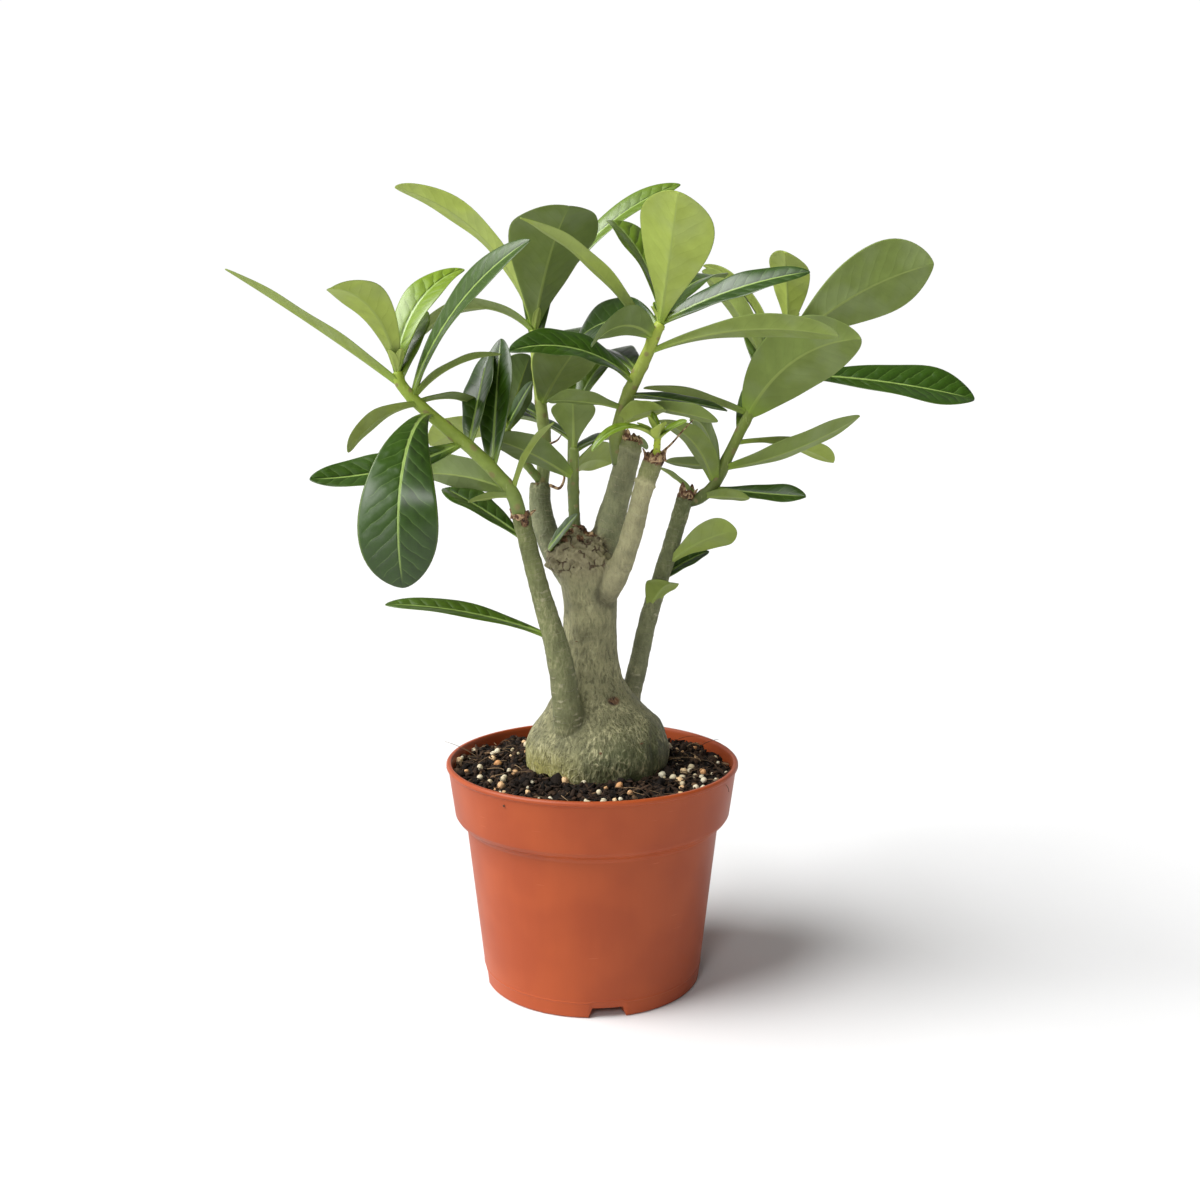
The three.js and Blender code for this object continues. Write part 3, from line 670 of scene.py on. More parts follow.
bark, shader, place = new_finish("bark", Specular_IOR_Level=0.3)
hue = place.field("hue", out=0)
wrinkled = place.field("wrinkled")
ringed = place.field("ringed")
scarred = place.field("scarred")
along = place.field("along")
knobby = place.field("knobby")
wander = place.node("TexNoise", {}, {"Vector": place, "Scale": 260.0, "Detail": 2.0}, out=1)
wandered = {0: wander, 1: (0.0022, 0.0022, 0.0012), 2: place}
bent = place.node("VectorMath", {"operation": "MULTIPLY_ADD"}, wandered)
ridge = 1 - rise(cells(bent, 1.5, "DISTANCE_TO_EDGE", (1, 1, 2.4)), 0.02, 0.16)
fibre = grain(bent, 1.1, 3, (1, 1, 3.4))
crease = rise(fibre, 0.52, 0.62)
furrow = 1 - rise(fibre, 0.36, 0.47)
ring_run = along * 0.42 + grain(place, 6, 2) * 0.9
ring_wave = ring_run.maths("FRACT", ring_run)
ring_line = rise(abs(ring_wave - 0.5), 0.4, 0.49) * rise(grain(place, 4, 3), 0.42, 0.6)
mottle = grain(place, 7, 4)
from_dot = cells(place, 9)
dot = 1 - rise(from_dot, 0.05, 0.1)
dot_edge = rise(from_dot, 0.05, 0.1) * (1 - rise(from_dot, 0.12, 0.16))
plate = 1 - rise(cells(bent, 3.4, "DISTANCE_TO_EDGE"), 0.02, 0.13)
crevice = plate * rise(knobby, 0.25, 0.65) * rise(grain(place, 3.4, 3), 0.5, 0.6)
lined = 0.3 + rise(grain(place, 15, 2), 0.42, 0.6) * 0.7
light_line = (crease * 0.6 + ridge * 0.34) * wrinkled * rise(mottle, 0.3, 0.6) * lined
colour = shade(hue, 0.46 + mottle * 0.98)
colour = tint(colour, dye(198, 192, 150), light_line)
colour = tint(colour, dye(50, 48, 30), furrow * wrinkled * 0.5)
colour = tint(colour, dye(184, 178, 148), ring_line * ringed * 0.8)
colour = tint(colour, dye(66, 60, 40), dot_edge * ringed * 0.6)
colour = tint(colour, dye(178, 170, 134), dot * ringed * 0.7)
colour = tint(colour, dye(134, 120, 98), knobby * 0.5)
colour = tint(colour, dye(70, 48, 34), crevice * 0.8)
woody = tint(dye(120, 88, 62), dye(56, 38, 27), rise(grain(place, 1.6, 4), 0.44, 0.62))
woody = tint(woody, dye(160, 136, 104), rise(grain(place, 1.1, 3), 0.56, 0.7) * 0.6)
colour = tint(colour, woody, rise(scarred + (mottle - 0.5) * 0.5, 0.4, 0.62))
colour.into(shader, "Base Color")
(0.58 + mottle * 0.2 + scarred * 0.1).into(shader, "Roughness")
net_height = (ridge * 0.3 + crease * 0.5 - furrow * 0.4) * wrinkled + ring_line * ringed * 0.6
scar_height = rise(grain(place, 1.4, 4), 0.4, 0.7) * scarred * 1.4
rough_height = net_height - crevice * 1.4 + grain(place, 1.0, 4) * 0.25 + scar_height
relief(rough_height, 0.46).into(shader, "Normal")

caudex = put("caudex_bark", whole, bark)
remesh = caudex.modifiers.new("grown_together", "REMESH")
remesh.mode = "VOXEL"
remesh.voxel_size = BARK_VOXEL * 0.001
soften = caudex.modifiers.new("soften", "SMOOTH")
soften.factor = 0.5
soften.iterations = 6
finer = caudex.modifiers.new("finer", "SUBSURF")
finer.levels = 1
finer.render_levels = 1
apply_modifiers(caudex)
mesh = caudex.data
count = len(mesh.vertices)
spots = np.empty(count * 3, np.float32)
mesh.vertices.foreach_get("co", spots)
spots = spots.reshape(-1, 3).astype(float) * 1000
outward = np.empty(count * 3, np.float32)
mesh.vertex_normals.foreach_get("vector", outward)
outward = outward.reshape(-1, 3)

# How far each point of the bark is outside the trunk and outside each branch says which of them owns it, and
# where two of them meet. The hue, the wrinkles, the rings and the scars of the bark follow from that.
x, y, height = spots.T
trunk_line = curve(TRUNK, np.linspace(0, len(TRUNK) - 1, 200))
axis_x = np.interp(height, trunk_line[:, 1], trunk_line[:, 0])
trunk_radius = np.interp(height, trunk_line[:, 1], trunk_line[:, 2])
off_trunk = np.hypot(x - axis_x, y) - trunk_radius
found = [distance_to_branch(spots, branch) for branch in BRANCHES.values()]
apart = np.stack([off_trunk] + [gap for gap, _, _ in found], axis=1)
share = np.stack([height * 0] + [part for _, part, _ in found], axis=1)
length = np.array([1.0] + [long for _, _, long in found])
order = np.sort(apart, axis=1)
owner = apart.argmin(axis=1)
owned = (np.arange(count), owner)
on_branch = owner > 0
collared = np.array([0] + [branch["collar"] for branch in BRANCHES.values()])[owner]
cut_back = np.array([0] + [branch["cut"] for branch in BRANCHES.values()])[owner]
weight = np.exp(-np.maximum(apart - order[:, :1], 0) / BLEND_REACH)
weight /= weight.sum(axis=1, keepdims=True)
joint = np.exp(-((np.maximum(order[:, 1], 0) / JOINT_HALF) ** 2))

grey = np.array(dye(138, 136, 100))
shaded_olive = np.array(dye(84, 88, 52))
lit_yellow = np.array(dye(172, 164, 78))
green = np.array(dye(76, 84, 52))
budding = np.array(dye(116, 122, 70))
# Painted shade and light on the bulb, over their own tones: it darkens to olive towards its shaded right and
# bottom, and turns a lighter yellow on its lit lower left.
low = (ramp(height, *SHADED_OLIVE_HEIGHT) * np.maximum(ramp(x, *SHADED_OLIVE_SIDE), 0.2))[:, None]
lit_yellow_share = (ramp(x, *LIT_YELLOW_SIDE) * ramp(height, *LIT_YELLOW_HEIGHT))[:, None]
mossy = (ramp(x, *MOSSY_SIDE) * ramp(height, *MOSSY_HEIGHT))[:, None]
trunk_hue = grey + (shaded_olive - grey) * low
trunk_hue = trunk_hue + (lit_yellow - trunk_hue) * lit_yellow_share * 0.8 + (green - trunk_hue) * mossy * 0.8
hues = [trunk_hue]
for number, branch in enumerate(BRANCHES.values(), 1):
    foot, head = np.array([branch["foot"], branch["head"]])
    hues.append(foot + (head - foot) * share[:, number : number + 1])
hue = (np.stack(hues, axis=1) * weight[..., None]).sum(axis=1)
to_end = ((1 - share) * length)[owned]
off_collar = to_end - COLLAR_DOWN + 0.6 * ripple(spots, 7, 40)
collar = np.exp(-((off_collar / COLLAR_HALF) ** 2)) * collared
above_collar = (ramp(to_end, 10, 8) * collared * 0.8)[:, None]
hue += (budding - hue) * above_collar
# Painted shade: the bark is darkened in the creases where two limbs meet, above the bulb's base.
hue[:, :3] *= (1 - 0.5 * joint * (height > 100) + 0.3 * collar)[:, None]
cut = np.clip(1.15 - to_end / CUT_FADE, 0, 1) * cut_back
to_knob = np.stack([np.linalg.norm(spots - knob[:3], axis=1) - knob[3] for knob in KNOBS]).min(axis=0)
on_knob = np.exp(-np.maximum(to_knob, 0) / 0.8) * ramp(height, 168, 176) * (off_trunk > -1)
on_knob = np.maximum(on_knob, 0.85 * weight[:, 0] * ramp(height, 166, 175))
dead_top = on_knob * np.clip(0.1 + 0.5 * ripple(spots, 5, 21) + (height - 183) / 7, 0, 1)
marks = sum(np.exp(-(((spots - mark[:3]) / mark[3:6]) ** 2).sum(axis=1)) * mark[6] for mark in MARKS)
scarred = np.clip(cut + dead_top + marks, 0, 1)
wrinkled = np.minimum(1.15 - 0.8 * ramp(height, 118, 178), 1) * weight[:, 0] + 0.35 * (1 - weight[:, 0])
wrinkled *= 1 - 0.6 * mossy[:, 0] * np.clip(0.6 + ripple(spots, 16, 38), 0, 1)
ringed = np.where(on_branch, 0.9 - 0.55 * share[owned], 0.12)
along = np.where(on_branch, (share * length)[owned], height)

# The bark swells in broad and fine waves, in flutes up the trunk, in rings on the branches and in lumps
# on the knobs. It draws in where two limbs meet and along one upright crease at the right of the bulb.
swell = 0.25 * ripple(spots, 21, 31) * ramp(height, 140, 110)
swell += (0.07 + 0.1 * weight[:, 0]) * ripple(spots, 8, 32) + 0.05 * ripple(spots, 2.6, 33)
around = np.arctan2(y, x - axis_x)
swell += 0.3 * np.sin(FLUTES * around + height / 13) * weight[:, 0] * ramp(height, 108, 116)
swell += 0.07 * np.sin(along * 0.62 + 1.5 * ripple(spots, 30, 34)) * on_branch
swell += on_knob * (0.8 * ripple(spots, 4.4, 35) + 0.35 * ripple(spots, 1.9, 36))
swell += cut * 0.35 * ripple(spots, 1.8, 37) + 0.45 * collar
swell -= 0.7 * joint * (height > 96)
off_crease = (x - CREASE_X - 0.05 * (104 - height)) / CREASE_HALF
swell -= 0.8 * np.exp(-(off_crease**2)) * ramp(height, 112, 104) * (y < -6)
spots += outward * swell[:, None]
mesh.vertices.foreach_set("co", (spots * 0.001).astype(np.float32).ravel())
fields = {"wrinkled": wrinkled, "ringed": ringed, "scarred": scarred, "along": along, "knobby": on_knob}
for key, values in fields.items():
    paint_field(mesh, key, values[:, None])
paint_field(mesh, "hue", hue)
mesh.polygons.foreach_set("use_smooth", np.ones(len(mesh.polygons), bool))
mesh.update()
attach(caudex, "root")
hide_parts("caudex")

# A green shoot grows from the end of each cut branch. Its stem is still soft and green, darker where it is
# older, and its spoon-shaped leaves stand round it, each on a short stalk that starts in the stem.
LEAF_ROWS = 40
LEAF_AROUND = 36
STEM_ROWS = 90
STEM_AROUND = 24
SCAR_STEPS = 23
SCAR_TURN = 137.5


def leaf(at, turn, climb, long, wide, bend, roll=0, twist=0, broad=0.62, tone=0.4, fold=12, curl=0):
    """One leaf's form: its place on the stem's curve, the way it points and climbs in degrees, its length and
    width, how many degrees it bends down, how it is rolled and twisted, where it is broadest, how young it
    is, how far its halves fold up, and how much it shades as if curled down."""
    return at, turn, climb, long, wide, bend, roll, twist, broad, tone, fold, curl


def blades(roots, forms, dice):
    """Leaves as closed skins, with what their finish needs to know of each point.

    At the share u of its length a leaf climbs at slope = climb - bend u, so its reach is
    long (sin climb - sin slope) / bend and its height long (cos slope - cos climb) / bend. Its half width is
    a flattened sine, sin(pi u^p)^0.62, with a narrow stalk at the root. Both halves fold up from the midrib
    and are crowned, the margin waves a little, and the midrib is a groove above and a rib below that fades
    to the tip."""
    columns = np.array(forms, float).T[..., None]
    _, turn, climb, long, wide, bend, roll, twist, broad, tone, fold, curl = columns
    turn, climb, bend, roll, twist, fold = np.radians([turn, climb, bend, roll, twist, fold])
    u = ((1 - np.cos(np.linspace(0.02, 0.975, LEAF_ROWS) * np.pi)) / 2)[None]
    slope = climb - bend * u
    reach = long * (np.sin(climb) - np.sin(slope)) / bend
    height = long * (np.cos(slope) - np.cos(climb)) / bend
    middle = roots[:, None] + np.stack([reach * np.cos(turn), reach * np.sin(turn), height], axis=-1)
    forward = np.stack([np.cos(slope) * np.cos(turn), np.cos(slope) * np.sin(turn), np.sin(slope)], axis=-1)
    side = np.stack([-np.sin(turn), np.cos(turn), 0 * turn], axis=-1)
    normal = np.cross(forward, np.broadcast_to(side, forward.shape))
    tilt = (roll + twist * u)[..., None]
    across = (side * np.cos(tilt) + normal * np.sin(tilt))[:, :, None]
    face = (normal * np.cos(tilt) - side * np.sin(tilt))[:, :, None]
    skew = np.log(0.5) / np.log(broad)
    half = (wide / 2 * np.sin(np.pi * u**skew) ** 0.62 + 1.1 * (1 - u) ** 2)[..., None]
    angle = full_turn(LEAF_AROUND)
    spread = np.cos(angle)
    v = spread * (0.55 + 0.45 * spread**2)
    above = np.sign(np.sin(angle).round(9)) * np.abs(np.sin(angle)) ** 0.5
    u = u[..., None]
    aside = v * half
    fold = fold[..., None]
    crown = (1.3 * np.abs(v) - 0.3 * np.abs(v) ** 3) * np.sin(fold)
    waves = dice.uniform(1.6, 3.0, (len(forms), 1, 1))
    phase = dice.uniform(0, 2 * np.pi, (len(forms), 1, 1))
    wave = 0.05 * v**2 * np.sin(2 * np.pi * waves * u + phase + 1.7 * np.sign(v)) * np.clip(3 * u, 0, 1)
    rib = 0.55 * (1 - u) ** 0.8 * np.exp(-((aside / 0.85) ** 2)) * (above < 0)
    groove = 0.2 * (1 - u) ** 0.4 * np.exp(-((aside / 0.55) ** 2)) * (above > 0) * np.clip(u * 6, 0, 1)
    skin = above * (0.26 + 0.5 * (1 - u) ** 3) - rib - groove
    lifted = (half * (crown + wave) + skin)[..., None]
    rings = middle[:, :, None] + across * (aside * np.cos(fold))[..., None] + face * lifted
    shape = rings.shape[:3]
    fields = {
        "from_root": u * long[..., None],
        "aside": aside,
        "margin": np.abs(v)[None, None],
        "upper": (0.5 + 0.5 * above)[None, None],
        "share": u,
        "tone": np.clip(tone[..., None] + dice.uniform(-0.05, 0.05, (len(forms), 1, 1)), 0, 1),
        "lot": dice.uniform(0, 1, (len(forms), 1, 1)),
        "curl": curl[..., None],
    }
    return rings, {key: np.broadcast_to(values, shape) for key, values in fields.items()}


SHOOTS = {
    "shoot_left": [
        {
            "points": [
                [-27, -24, 193], [-30, -25, 204], [-36, -26, 212], [-45, -28, 221.5], [-55.5, -30, 230.5],
                [-65.5, -31, 239.5], [-71, -31, 246], [-72.5, -31, 251],
            ],
            "thick": [2.9, 2],
            "foot": dye(112, 128, 66),
            "head": dye(150, 172, 56),
            "leaves": [
                leaf(5.9, 168, 34, 82, 14, 4, roll=24, broad=0.48, tone=0.5),
                leaf(6.9, 242, 80, 52, 17, 85, roll=19, broad=0.69, tone=0.72),
                leaf(6.9, 44, 86, 54, 15, 72, roll=18, broad=0.59, tone=0.8),
                leaf(5.2, 334, 69, 77, 15, 43, roll=55, broad=0.64, tone=0.28),
                leaf(5.2, 16, 50, 39, 10, 50, roll=-15, broad=0.53, tone=0.35),
                leaf(5, 46, 14, 33, 9, 37, roll=-14, broad=0.59, tone=0.3),
                leaf(4.9, 229, -1, 39, 11, 49, roll=58, broad=0.74, tone=0.6),
                leaf(4.4, 261, 9, 89, 28, 128, roll=-12, broad=0.74, tone=0.06, fold=3, curl=0.5),
                leaf(1.3, 146, 15, 47, 18, 21, roll=54, broad=0.55, tone=0.3),
                leaf(3.3, 199, -25, 60, 17, -26, roll=-35, broad=0.64, tone=0.08),
                leaf(3.1, 79, 56, 46, 16, 10, roll=-33, broad=0.6, tone=0.1),
                leaf(2.2, 86, 67, 56, 16, 10, roll=-27, broad=0.6, tone=0.06),
                leaf(1.1, 329, 73, 34, 8, 37, roll=7, broad=0.72, tone=0.6),
                leaf(1, 200, 1, 18, 6, 15, roll=33, broad=0.6),
                leaf(6.2, 75, 70, 36, 15, 40, tone=0.5),
            ],
        },
    ],
    "shoot_back_left": [
        {
            "points": [
                [-21.8, 22, 198], [-19.7, 25, 219], [-21.3, 27, 236.5], [-23, 28, 253], [-24, 28, 268],
            ],
            "thick": [2.9, 2],
            "foot": dye(116, 124, 84),
            "head": dye(168, 184, 84),
            "leaves": [
                leaf(3.9, 291, 67, 64, 36, 40, roll=-3, broad=0.7, tone=0.36),
                leaf(3.9, 175, 78, 86, 16, 65, roll=35, broad=0.67, tone=0.88),
                leaf(3.9, 161, 44, 62, 14, 97, roll=16, broad=0.48, tone=0.45),
                leaf(3.9, 15, 69, 90, 14, 50, roll=29, broad=0.74, tone=0.6),
                leaf(2, 299, 43, 42, 26, 15, roll=-18, broad=0.66, tone=0.35),
                leaf(3.4, 85, 82, 58, 15, 22, roll=10),
                leaf(2.8, 50, 48, 56, 18, 60, tone=0.3),
                leaf(1.6, 130, 30, 50, 17, 60, tone=0.2),
            ],
        },
        {
            "points": [[-22, 22, 206], [-28, 18, 214], [-33, 14, 223], [-35, 13, 228]],
            "thick": [1.8, 1.5],
            "foot": dye(112, 130, 66),
            "head": dye(150, 172, 74),
            "leaves": [
                leaf(2.8, 74, 53, 42, 20, 15, roll=-117, broad=0.6, tone=0.06),
                leaf(2.8, 322, 59, 24, 8, 10, roll=63, broad=0.6, tone=0.06),
                leaf(2.4, 142, 12, 46, 18, 40, roll=33, tone=0.6),
            ],
        },
    ],
    "shoot_centre": [
        {
            "points": [
                [11, 2, 214], [9.8, 2, 224], [13.4, -2, 239], [17.6, -5, 249], [22, -8, 258.5],
                [25, -10, 266], [26.7, -10, 269],
            ],
            "thick": [3, 2.1],
            "foot": dye(104, 116, 66),
            "head": dye(166, 182, 62),
            "leaves": [
                leaf(4.4, 221, 51, 78, 13, 35, roll=-3, broad=0.66, tone=0.65),
                leaf(5.9, 276, 45, 60, 30, -6, roll=-30, broad=0.72, tone=0.7),
                leaf(5.9, 142, 84, 48, 24, 50, roll=-1, broad=0.78, tone=0.5),
                leaf(5.9, 352, 30, 60, 14, 23, roll=40, broad=0.59, tone=0.14),
                leaf(3.9, 339, 22, 76, 14, 35, roll=-40, broad=0.72, tone=0.42),
                leaf(5.1, 136, 25, 46, 22, 60, roll=-51, broad=0.6, tone=0.15),
                leaf(4.6, 230, 32, 40, 18, 75, roll=42, broad=0.6, tone=0.2),
                leaf(2.7, 202, 43, 55, 20, 60, roll=-33, broad=0.55, tone=0.06),
                leaf(1.8, 206, 14, 33, 16, 16, roll=22, broad=0.72, tone=0.35),
                leaf(2.2, 3, -4, 40, 11, 10, roll=17, broad=0.6, tone=0.1),
                leaf(1.9, 330, -2, 41, 12, 12, roll=-37, broad=0.73, tone=0.35),
                leaf(1.4, 313, 30, 26, 13, 30, roll=-27, broad=0.6, tone=0.55),
                leaf(4.8, 55, 52, 60, 18, 55, tone=0.3),
                leaf(3, 110, 35, 56, 18, 60, tone=0.2),
            ],
        },
    ],
    "shoot_right": [
        {
            "points": [
                [39, 20, 197], [45, 20, 199], [51, 20, 205], [57, 22, 217.5], [63.5, 24, 230.5],
                [70, 26, 243.5], [76, 28, 256], [82, 29.5, 265],
            ],
            "thick": [2.6, 1.8],
            "foot": dye(78, 88, 48),
            "head": dye(140, 160, 56),
            "leaves": [
                leaf(4.1, 312, 58, 68, 29, 59, roll=-57, broad=0.54, tone=0.35),
                leaf(5.9, 12, 47, 81, 32, 34, roll=-77, broad=0.72, tone=0.35),
                leaf(6.9, 257, 69, 41, 19, 30, roll=-25, broad=0.71, tone=0.95),
                leaf(5.9, 137, 76, 58, 9, 60, roll=51, broad=0.6, tone=0.6),
                leaf(5.5, 133, 63, 58, 15, 30, roll=69, broad=0.66, tone=0.5),
                leaf(5.4, -6, 1, 85, 25, 15, roll=41, twist=-8, broad=0.76, tone=0.08),
                leaf(4.2, 161, 20, 47, 12, 15, roll=21, broad=0.57),
                leaf(2.5, 355, 10, 60, 15, -23, roll=-35, broad=0.6, tone=0.38),
                leaf(3.3, 14, 8, 46, 13, 39, roll=-28, broad=0.76, tone=0.6),
                leaf(1.7, 339, -5, 40, 12, -4, roll=32, broad=0.72, tone=0.05),
                leaf(1.1, 326, 5, 22, 8, 8, roll=-41, broad=0.64, tone=0.45),
                leaf(1.9, 222, 72, 46, 14, 67, roll=9, broad=0.56, tone=0.35),
                leaf(2.2, 108, 79, 44, 13, 90, roll=75, broad=0.6, tone=0.3),
                leaf(2.6, 148, -2, 28, 7, -6, roll=48, broad=0.57, tone=0.3),
                leaf(0.8, 137, 39, 24, 5, 20, roll=48, broad=0.6),
                leaf(5.1, 85, 55, 60, 18, 50),
                leaf(3.6, 60, 50, 54, 18, 60, tone=0.3),
            ],
        },
    ],
    "shoot_middle": [
        {
            "points": [[-7, 2, 180], [-7.3, 2, 200], [-7.2, 2, 221]],
            "thick": [2.4, 1.9],
            "foot": dye(78, 88, 54),
            "head": dye(122, 138, 66),
            "leaves": [
                leaf(1.4, 208, 35, 40, 17, 20, roll=36, tone=0.3),
                leaf(1.9, 264, 84, 21, 18, 8, roll=5, broad=0.78, tone=0.35),
            ],
        },
    ],
    "shoot_back": [
        {
            "points": [[-6, 6, 179], [-8, 20, 199], [-8.5, 34, 220], [-8, 38, 232]],
            "thick": [2.4, 1.8],
            "foot": dye(86, 96, 58),
            "head": dye(132, 148, 70),
            "leaves": [
                leaf(1.5, 57, 24, 31, 17, 46, roll=-52, broad=0.6, tone=0.6),
                leaf(2.4, 52, 77, 55, 19, 72, roll=-3, broad=0.74, tone=0.5),
                leaf(2.7, 115, 62, 52, 18, 45),
                leaf(2.1, 160, 38, 46, 17, 60, tone=0.3),
                leaf(1.8, 40, 30, 44, 16, 60, tone=0.3),
            ],
        },
    ],
    "sprout_pale_branch": [
        {
            "points": [[23.5, -14, 214], [25, -14, 219], [25.5, -14, 226]],
            "thick": [1.6, 1.3],
            "foot": dye(156, 172, 62),
            "head": dye(176, 192, 56),
            "leaves": [
                leaf(1.9, 212, 39, 34, 6, 95, roll=-15, broad=0.6, tone=0.85),
                leaf(1.9, 325, 37, 15, 5, 20, roll=39, broad=0.6, tone=0.9),
                leaf(1.9, 274, 32, 13, 7, 10, roll=27, broad=0.6, tone=1),
                leaf(1.9, 208, 43, 11, 3, 20, roll=12, broad=0.6, tone=0.95),
            ],
        },
    ],
}

leaf_skin, shader, place = new_finish("leaf_skin", Coat_Roughness=0.28, Specular_IOR_Level=0.12)
tone, margin, upper, share, aside, from_root, lot, curl = (
    place.field(key) for key in ("tone", "margin", "upper", "share", "aside", "from_root", "lot", "curl")
)
off = abs(aside)
above = rise(upper, 0.45, 0.55)
mottle = grain(place, 6, 4)
waves = grain(place, 6, 1)
patch = grain(place, 17, 2)
fine = grain(place, 1.2, 3)
half_step = rise(aside, -0.05, 0.05) * 0.5
vein_run = (from_root - off * 0.85 + (waves - 0.5) * 3.2) / 5.2 + half_step + lot
vein_wave = vein_run.maths("FRACT", vein_run)
swing = abs(vein_wave - 0.5) * 2
inner = (1 - rise(margin, 0.6, 0.97)) * rise(off, 0.2, 0.9)
vein = rise(swing, 0.84, 1.0) * inner
midrib = 1 - rise(off - 0.55 * (1 - share), 0.0, 0.4)
midrib = midrib * (1 - rise(share, 0.86, 0.99))
old_top = shade(dye(42, 70, 4), 0.72 + mottle * 0.56)
top = tint(old_top, dye(122, 150, 34), rise(tone, 0.1, 1.0))
top = tint(top, dye(104, 134, 60), vein * (0.3 - tone * 0.16))
top = tint(top, dye(150, 176, 92), midrib * 0.85)
under = tint(dye(96, 114, 64), dye(172, 188, 90), rise(tone, 0.05, 1.0))
under = shade(under, 0.76 + mottle * 0.44)
under = tint(under, dye(152, 162, 132), rise(patch, 0.42, 0.66) * 0.2)
under = tint(under, dye(78, 102, 36), vein * 0.08)
under = tint(under, dye(152, 168, 92), midrib * 0.7)
colour = tint(under, top, above)
colour = tint(colour, dye(136, 158, 78), rise(margin, 0.94, 1.0) * 0.4)
colour = tint(colour, dye(138, 164, 60), (1 - rise(share, 0.02, 0.2)) * 0.75)
colour.into(shader, "Base Color")
(0.56 - above * 0.18 + fine * 0.08).into(shader, "Roughness")
(above * 0.85).into(shader, "Coat Weight")
pillow = (1 - swing * swing) * inner
curled = (from_root * from_root * 0.006 - off * 0.5) * curl
quilt = (pillow * 0.45 + waves * 1.2 + curled) * above - pillow * (1 - above) * 0.1
relief(quilt + fine * above * 0.05, 1.0).into(shader, "Normal")

stem_skin, shader, place = new_finish("stem_skin", Specular_IOR_Level=0.4)
hue = place.field("hue", out=0)
scar = place.field("scar")
mottle = grain(place, 2.5, 4)
streak = grain(place, 0.8, 3, (1, 1, 4))
colour = shade(hue, 0.78 + mottle * 0.44)
colour = tint(colour, dye(190, 196, 136), rise(streak, 0.6, 0.75) * 0.3)
colour = tint(colour, dye(132, 118, 74), rise(scar, 0.35, 0.8) * 0.75)
colour.into(shader, "Base Color")
(0.42 + mottle * 0.2).into(shader, "Roughness")
relief(mottle * 0.6 + streak * 0.4, 0.16).into(shader, "Normal")


def stem_skins(stem, number):
    """A green stem's rings with leaf scars: on each ring's circle a low bump stands wherever an old leaf
    was, each turned on from the last by the same angle, and the tip is drawn in to a blunt bud."""
    thick = np.linspace(*stem["thick"], len(stem["points"]))
    rings = stem_rings(stem["points"], thick, STEM_ROWS, STEM_AROUND)
    centre = rings.mean(axis=2, keepdims=True)
    share = np.linspace(0, 1, STEM_ROWS)[:, None]
    turn = full_turn(STEM_AROUND)
    scars = np.arange(2, SCAR_STEPS - 1)[:, None, None]
    off_turn = (turn - scars * np.radians(SCAR_TURN) - number + np.pi) % (2 * np.pi) - np.pi
    off_ring = (share - scars / SCAR_STEPS) * SCAR_STEPS * 2
    scar = np.exp(-(off_ring**2) - (off_turn / 0.55) ** 2).max(axis=0)
    tip = np.sqrt(np.clip(1 - ((share - 0.97) / 0.03).clip(0) ** 2, 0.02, 1))
    rings = centre + (rings - centre) * ((1 + 0.14 * scar) * tip)[None, ..., None]
    foot, head = np.array([stem["foot"], stem["head"]])
    hue = foot + (head - foot) * (share**0.9)[..., None]
    hue = np.broadcast_to(hue, (STEM_ROWS, STEM_AROUND, 4))[None]
    return rings, hue, scar[None]


dice = np.random.default_rng(23)
for name, stems in SHOOTS.items():
    stem_parts = [stem_skins(stem, number) for number, stem in enumerate(stems)]
    rings, hues, scars = (np.concatenate(group) for group in zip(*stem_parts))
    stalk = skinned(name + "_stem", rings, stem_skin, hue=hues, scar=scars)
    forms = []
    roots = []
    for stem in stems:
        tip = len(stem["points"]) - 1.12
        ways = dice.uniform(0, 360, 3) + np.array([0, 130, 250])
        buds = [
            leaf(tip, way, dice.uniform(62, 82), dice.uniform(7, 12), 3.4, 18, tone=0.95) for way in ways
        ]
        grown = stem["leaves"] + (buds if name != "shoot_middle" else [])
        forms += grown
        roots.append(curve(stem["points"], np.array(grown)[:, 0]))
    rings, fields = blades(np.concatenate(roots), forms, dice)
    foliage = skinned(name + "_leaves", rings, leaf_skin, **fields)
    for piece in (stalk, foliage):
        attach(piece, "root")
        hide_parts(name)
        "young_leaf" if name == "sprout_pale_branch" else "leaf"

# A few leaves grow straight from the bark of the left and right branches and from a knob, each on its own
# short stalk. They are single pieces, so each replaces its own node.
KNOB_BUD = [[-17, -1, 180], [-17, -1, 181]]
ON_LEFT = BRANCHES["left"]["points"]
ON_RIGHT = BRANCHES["right"]["points"]
BARK_LEAVES = {
    "leaf_left_low": (ON_LEFT, leaf(2.3, 179, 23, 68, 13, 23, roll=-17, broad=0.67, tone=0.35)),
    "leaf_left_high": (ON_LEFT, leaf(4.05, 142, 29, 48, 17, 12, roll=-9, broad=0.72, tone=0.1)),
    "leaf_right_high": (ON_RIGHT, leaf(2.8, 333, 46, 37, 15, 35, roll=-57, broad=0.76, tone=0.55)),
    "leaf_right_middle": (ON_RIGHT, leaf(2.6, 26, 35, 26, 9, 20, roll=18, broad=0.6, tone=0.1)),
    "leaf_right_low": (ON_RIGHT, leaf(2.05, 301, 76, 24, 14, 60, roll=-16, broad=0.75, tone=0.5)),
    "leaf_knob": (KNOB_BUD, leaf(0, 310, 46, 24, 6, 10, roll=69, broad=0.55, tone=0.25)),
}
for name, (carrier, form) in BARK_LEAVES.items():
    rings, fields = blades(curve(carrier, np.array(form[:1])), [form], dice)
    blade = skinned(name + "_blade", rings, leaf_skin, **fields)
    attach(blade, "root")
    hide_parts(name)

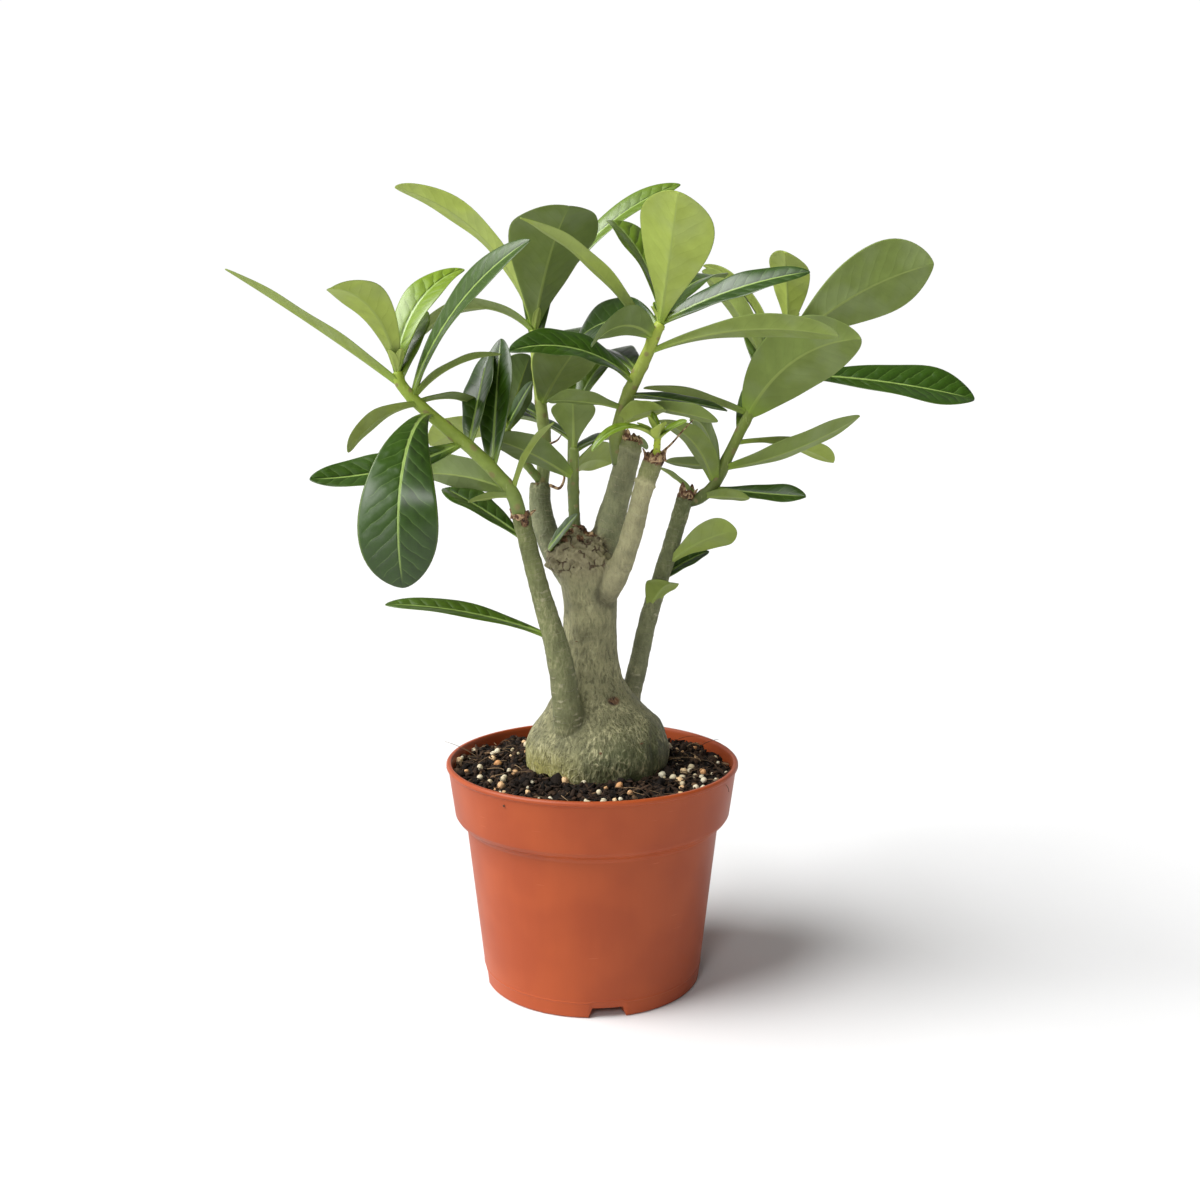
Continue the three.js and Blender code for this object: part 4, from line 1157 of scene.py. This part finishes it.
# Where a branch was cut, the dead wood dries to papery brown scales round the cut, and a thin dead stalk or
# a curled twig is left here and there. A row of the cuts is a branch, the radius on which its scales stand,
# how many they are, and how long the longest is.
CUTS = [("left", 3.4, 4, 5.0), ("front", 4.2, 7, 8.0), ("pale", 4.0, 6, 7.5), ("right", 3.3, 5, 8.0)]
TWIGS = {
    "pale_stalk": (
        [[26.5, -14, 219], [31, -13, 223], [35.5, -11, 228], [39.5, -9, 232]],
        [0.55, 0.4, 0.3, 0.2],
    ),
    "curled_twig": (
        [[-17.5, 19, 204], [-13.5, 17, 203], [-11.5, 16, 207.5], [-13.5, 16, 212], [-16.5, 16.5, 213.5]],
        [0.7, 0.6, 0.5, 0.45, 0.3],
    ),
    "dry_hook": ([[-17.8, 18.5, 221], [-14.5, 17.5, 222.5], [-12.5, 17, 225]], [0.5, 0.4, 0.2]),
}

husk, shader, place = new_finish("husk", Specular_IOR_Level=0.3)
patch = grain(place, 1.5, 4)
colour = tint(dye(92, 62, 44), dye(190, 160, 122), rise(patch, 0.4, 0.62))
tint(colour, dye(48, 32, 24), rise(grain(place, 0.8, 3), 0.58, 0.7) * 0.7).into(shader, "Base Color")
(0.7 + patch * 0.2).into(shader, "Roughness")
relief(patch, 0.3).into(shader, "Normal")
forms = []
roots = []
for branch, reach, scales, longest in CUTS:
    end = np.array(BRANCHES[branch]["points"][-1], float)
    ways = np.linspace(0, 360, scales, endpoint=False) + dice.uniform(-25, 25, scales)
    for way in ways:
        out = np.array([np.cos(np.radians(way)), np.sin(np.radians(way)), 0])
        roots.append(end + out * (reach - 0.5) - [0, 0, 2.5])
        long = longest * dice.uniform(0.45, 1.0)
        lean = dice.uniform(62, 100)
        forms.append(leaf(0, way, lean, long, dice.uniform(2.2, 4.2), 40 * dice.choice([-1, 1]), broad=0.45))
for *middle, radius in KNOBS:
    way = dice.uniform(0, 360)
    roots.append(np.add(middle, [0.4 * radius * np.cos(way), 0.4 * radius * np.sin(way), radius * 0.8]))
    forms.append(leaf(0, way, 50, dice.uniform(2.5, 4.5), dice.uniform(2.0, 3.4), 50, broad=0.5))
rings, fields = blades(np.array(roots), forms, dice)
husks = skinned("cut_husks", rings[:, ::2], husk)
twig_rings = np.concatenate([stem_rings(points, radii, 40, 8) for points, radii in TWIGS.values()])
twigs = skinned("dead_twigs", twig_rings, husk)
for piece in (husks, twigs):
    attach(piece, "root")
    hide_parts("caudex")

# The studio is a white floor under a pale surrounding that is brightest at the horizon and dimmer in front on
# the right, with a soft key light high on the left and a small weak one in front. The camera stands where the
# photograph was taken.
FLOOR_HALF = 12000
FLOOR_DROP = 0.05
CAMERA_PLACE = [3.16, -560, 254.2]
CAMERA_DOWN = 9.634
SENSOR_WIDTH = 36
FOCAL_LENGTH = 42.05
LIGHTS = {
    "key_light": {"power": 4.85, "width": 46, "tilt": 40, "turn": -72},
    "front_light": {"power": 0.6, "width": 14, "tilt": 56, "turn": -14},
}

floor_points = np.array([[-1, -1, 0], [1, -1, 0], [1, 1, 0], [-1, 1, 0]], float) * FLOOR_HALF
floor_points[:, 2] = -FLOOR_DROP
white, shader, place = new_finish("studio_white", Specular_IOR_Level=0.1, Roughness=0.9)
shader.inputs["Base Color"].default_value = (0.76, 0.76, 0.76, 1.0)
floor = put("studio_floor", fill_mesh("studio_floor", floor_points, np.array([[0, 1, 2, 3]])), white)

world = bpy.data.worlds.new("studio_surround")
bpy.context.scene.world = world
world.use_nodes = True
tree = world.node_tree
way = Socket(tree, tree.nodes.new("ShaderNodeTexCoord").outputs["Generated"])
east, north, lift = (way.node("SeparateXYZ", {}, {"Vector": way}, out=number) for number in range(3))
glow = tint((1.02, 1.02, 1.02, 1.0), (0.16, 0.16, 0.16, 1.0), rise(lift, 0.24, 0.42))
glow = shade(glow, 1 - rise(east * 0.7 - north * 0.7, -0.3, 0.7) * 0.66)
tree.links.new(glow.source, tree.nodes["Background"].inputs["Color"])

for name, light in LIGHTS.items():
    sun = bpy.data.lights.new(name, "SUN")
    sun.energy = light["power"]
    sun.angle = np.radians(light["width"])
    lamp = bpy.data.objects.new(name, sun)
    lamp.rotation_euler = (np.radians(light["tilt"]), 0, np.radians(light["turn"]))
    bpy.context.scene.collection.objects.link(lamp)

lens = bpy.data.cameras.new("camera")
lens.sensor_width = SENSOR_WIDTH
lens.lens = FOCAL_LENGTH
camera = bpy.data.objects.new("camera", lens)
camera.location = np.array(CAMERA_PLACE) * 0.001
camera.rotation_euler = (np.radians(90 - CAMERA_DOWN), 0, 0)
bpy.context.scene.collection.objects.link(camera)
bpy.context.scene.camera = camera
bpy.context.scene.view_settings.view_transform = "Standard"
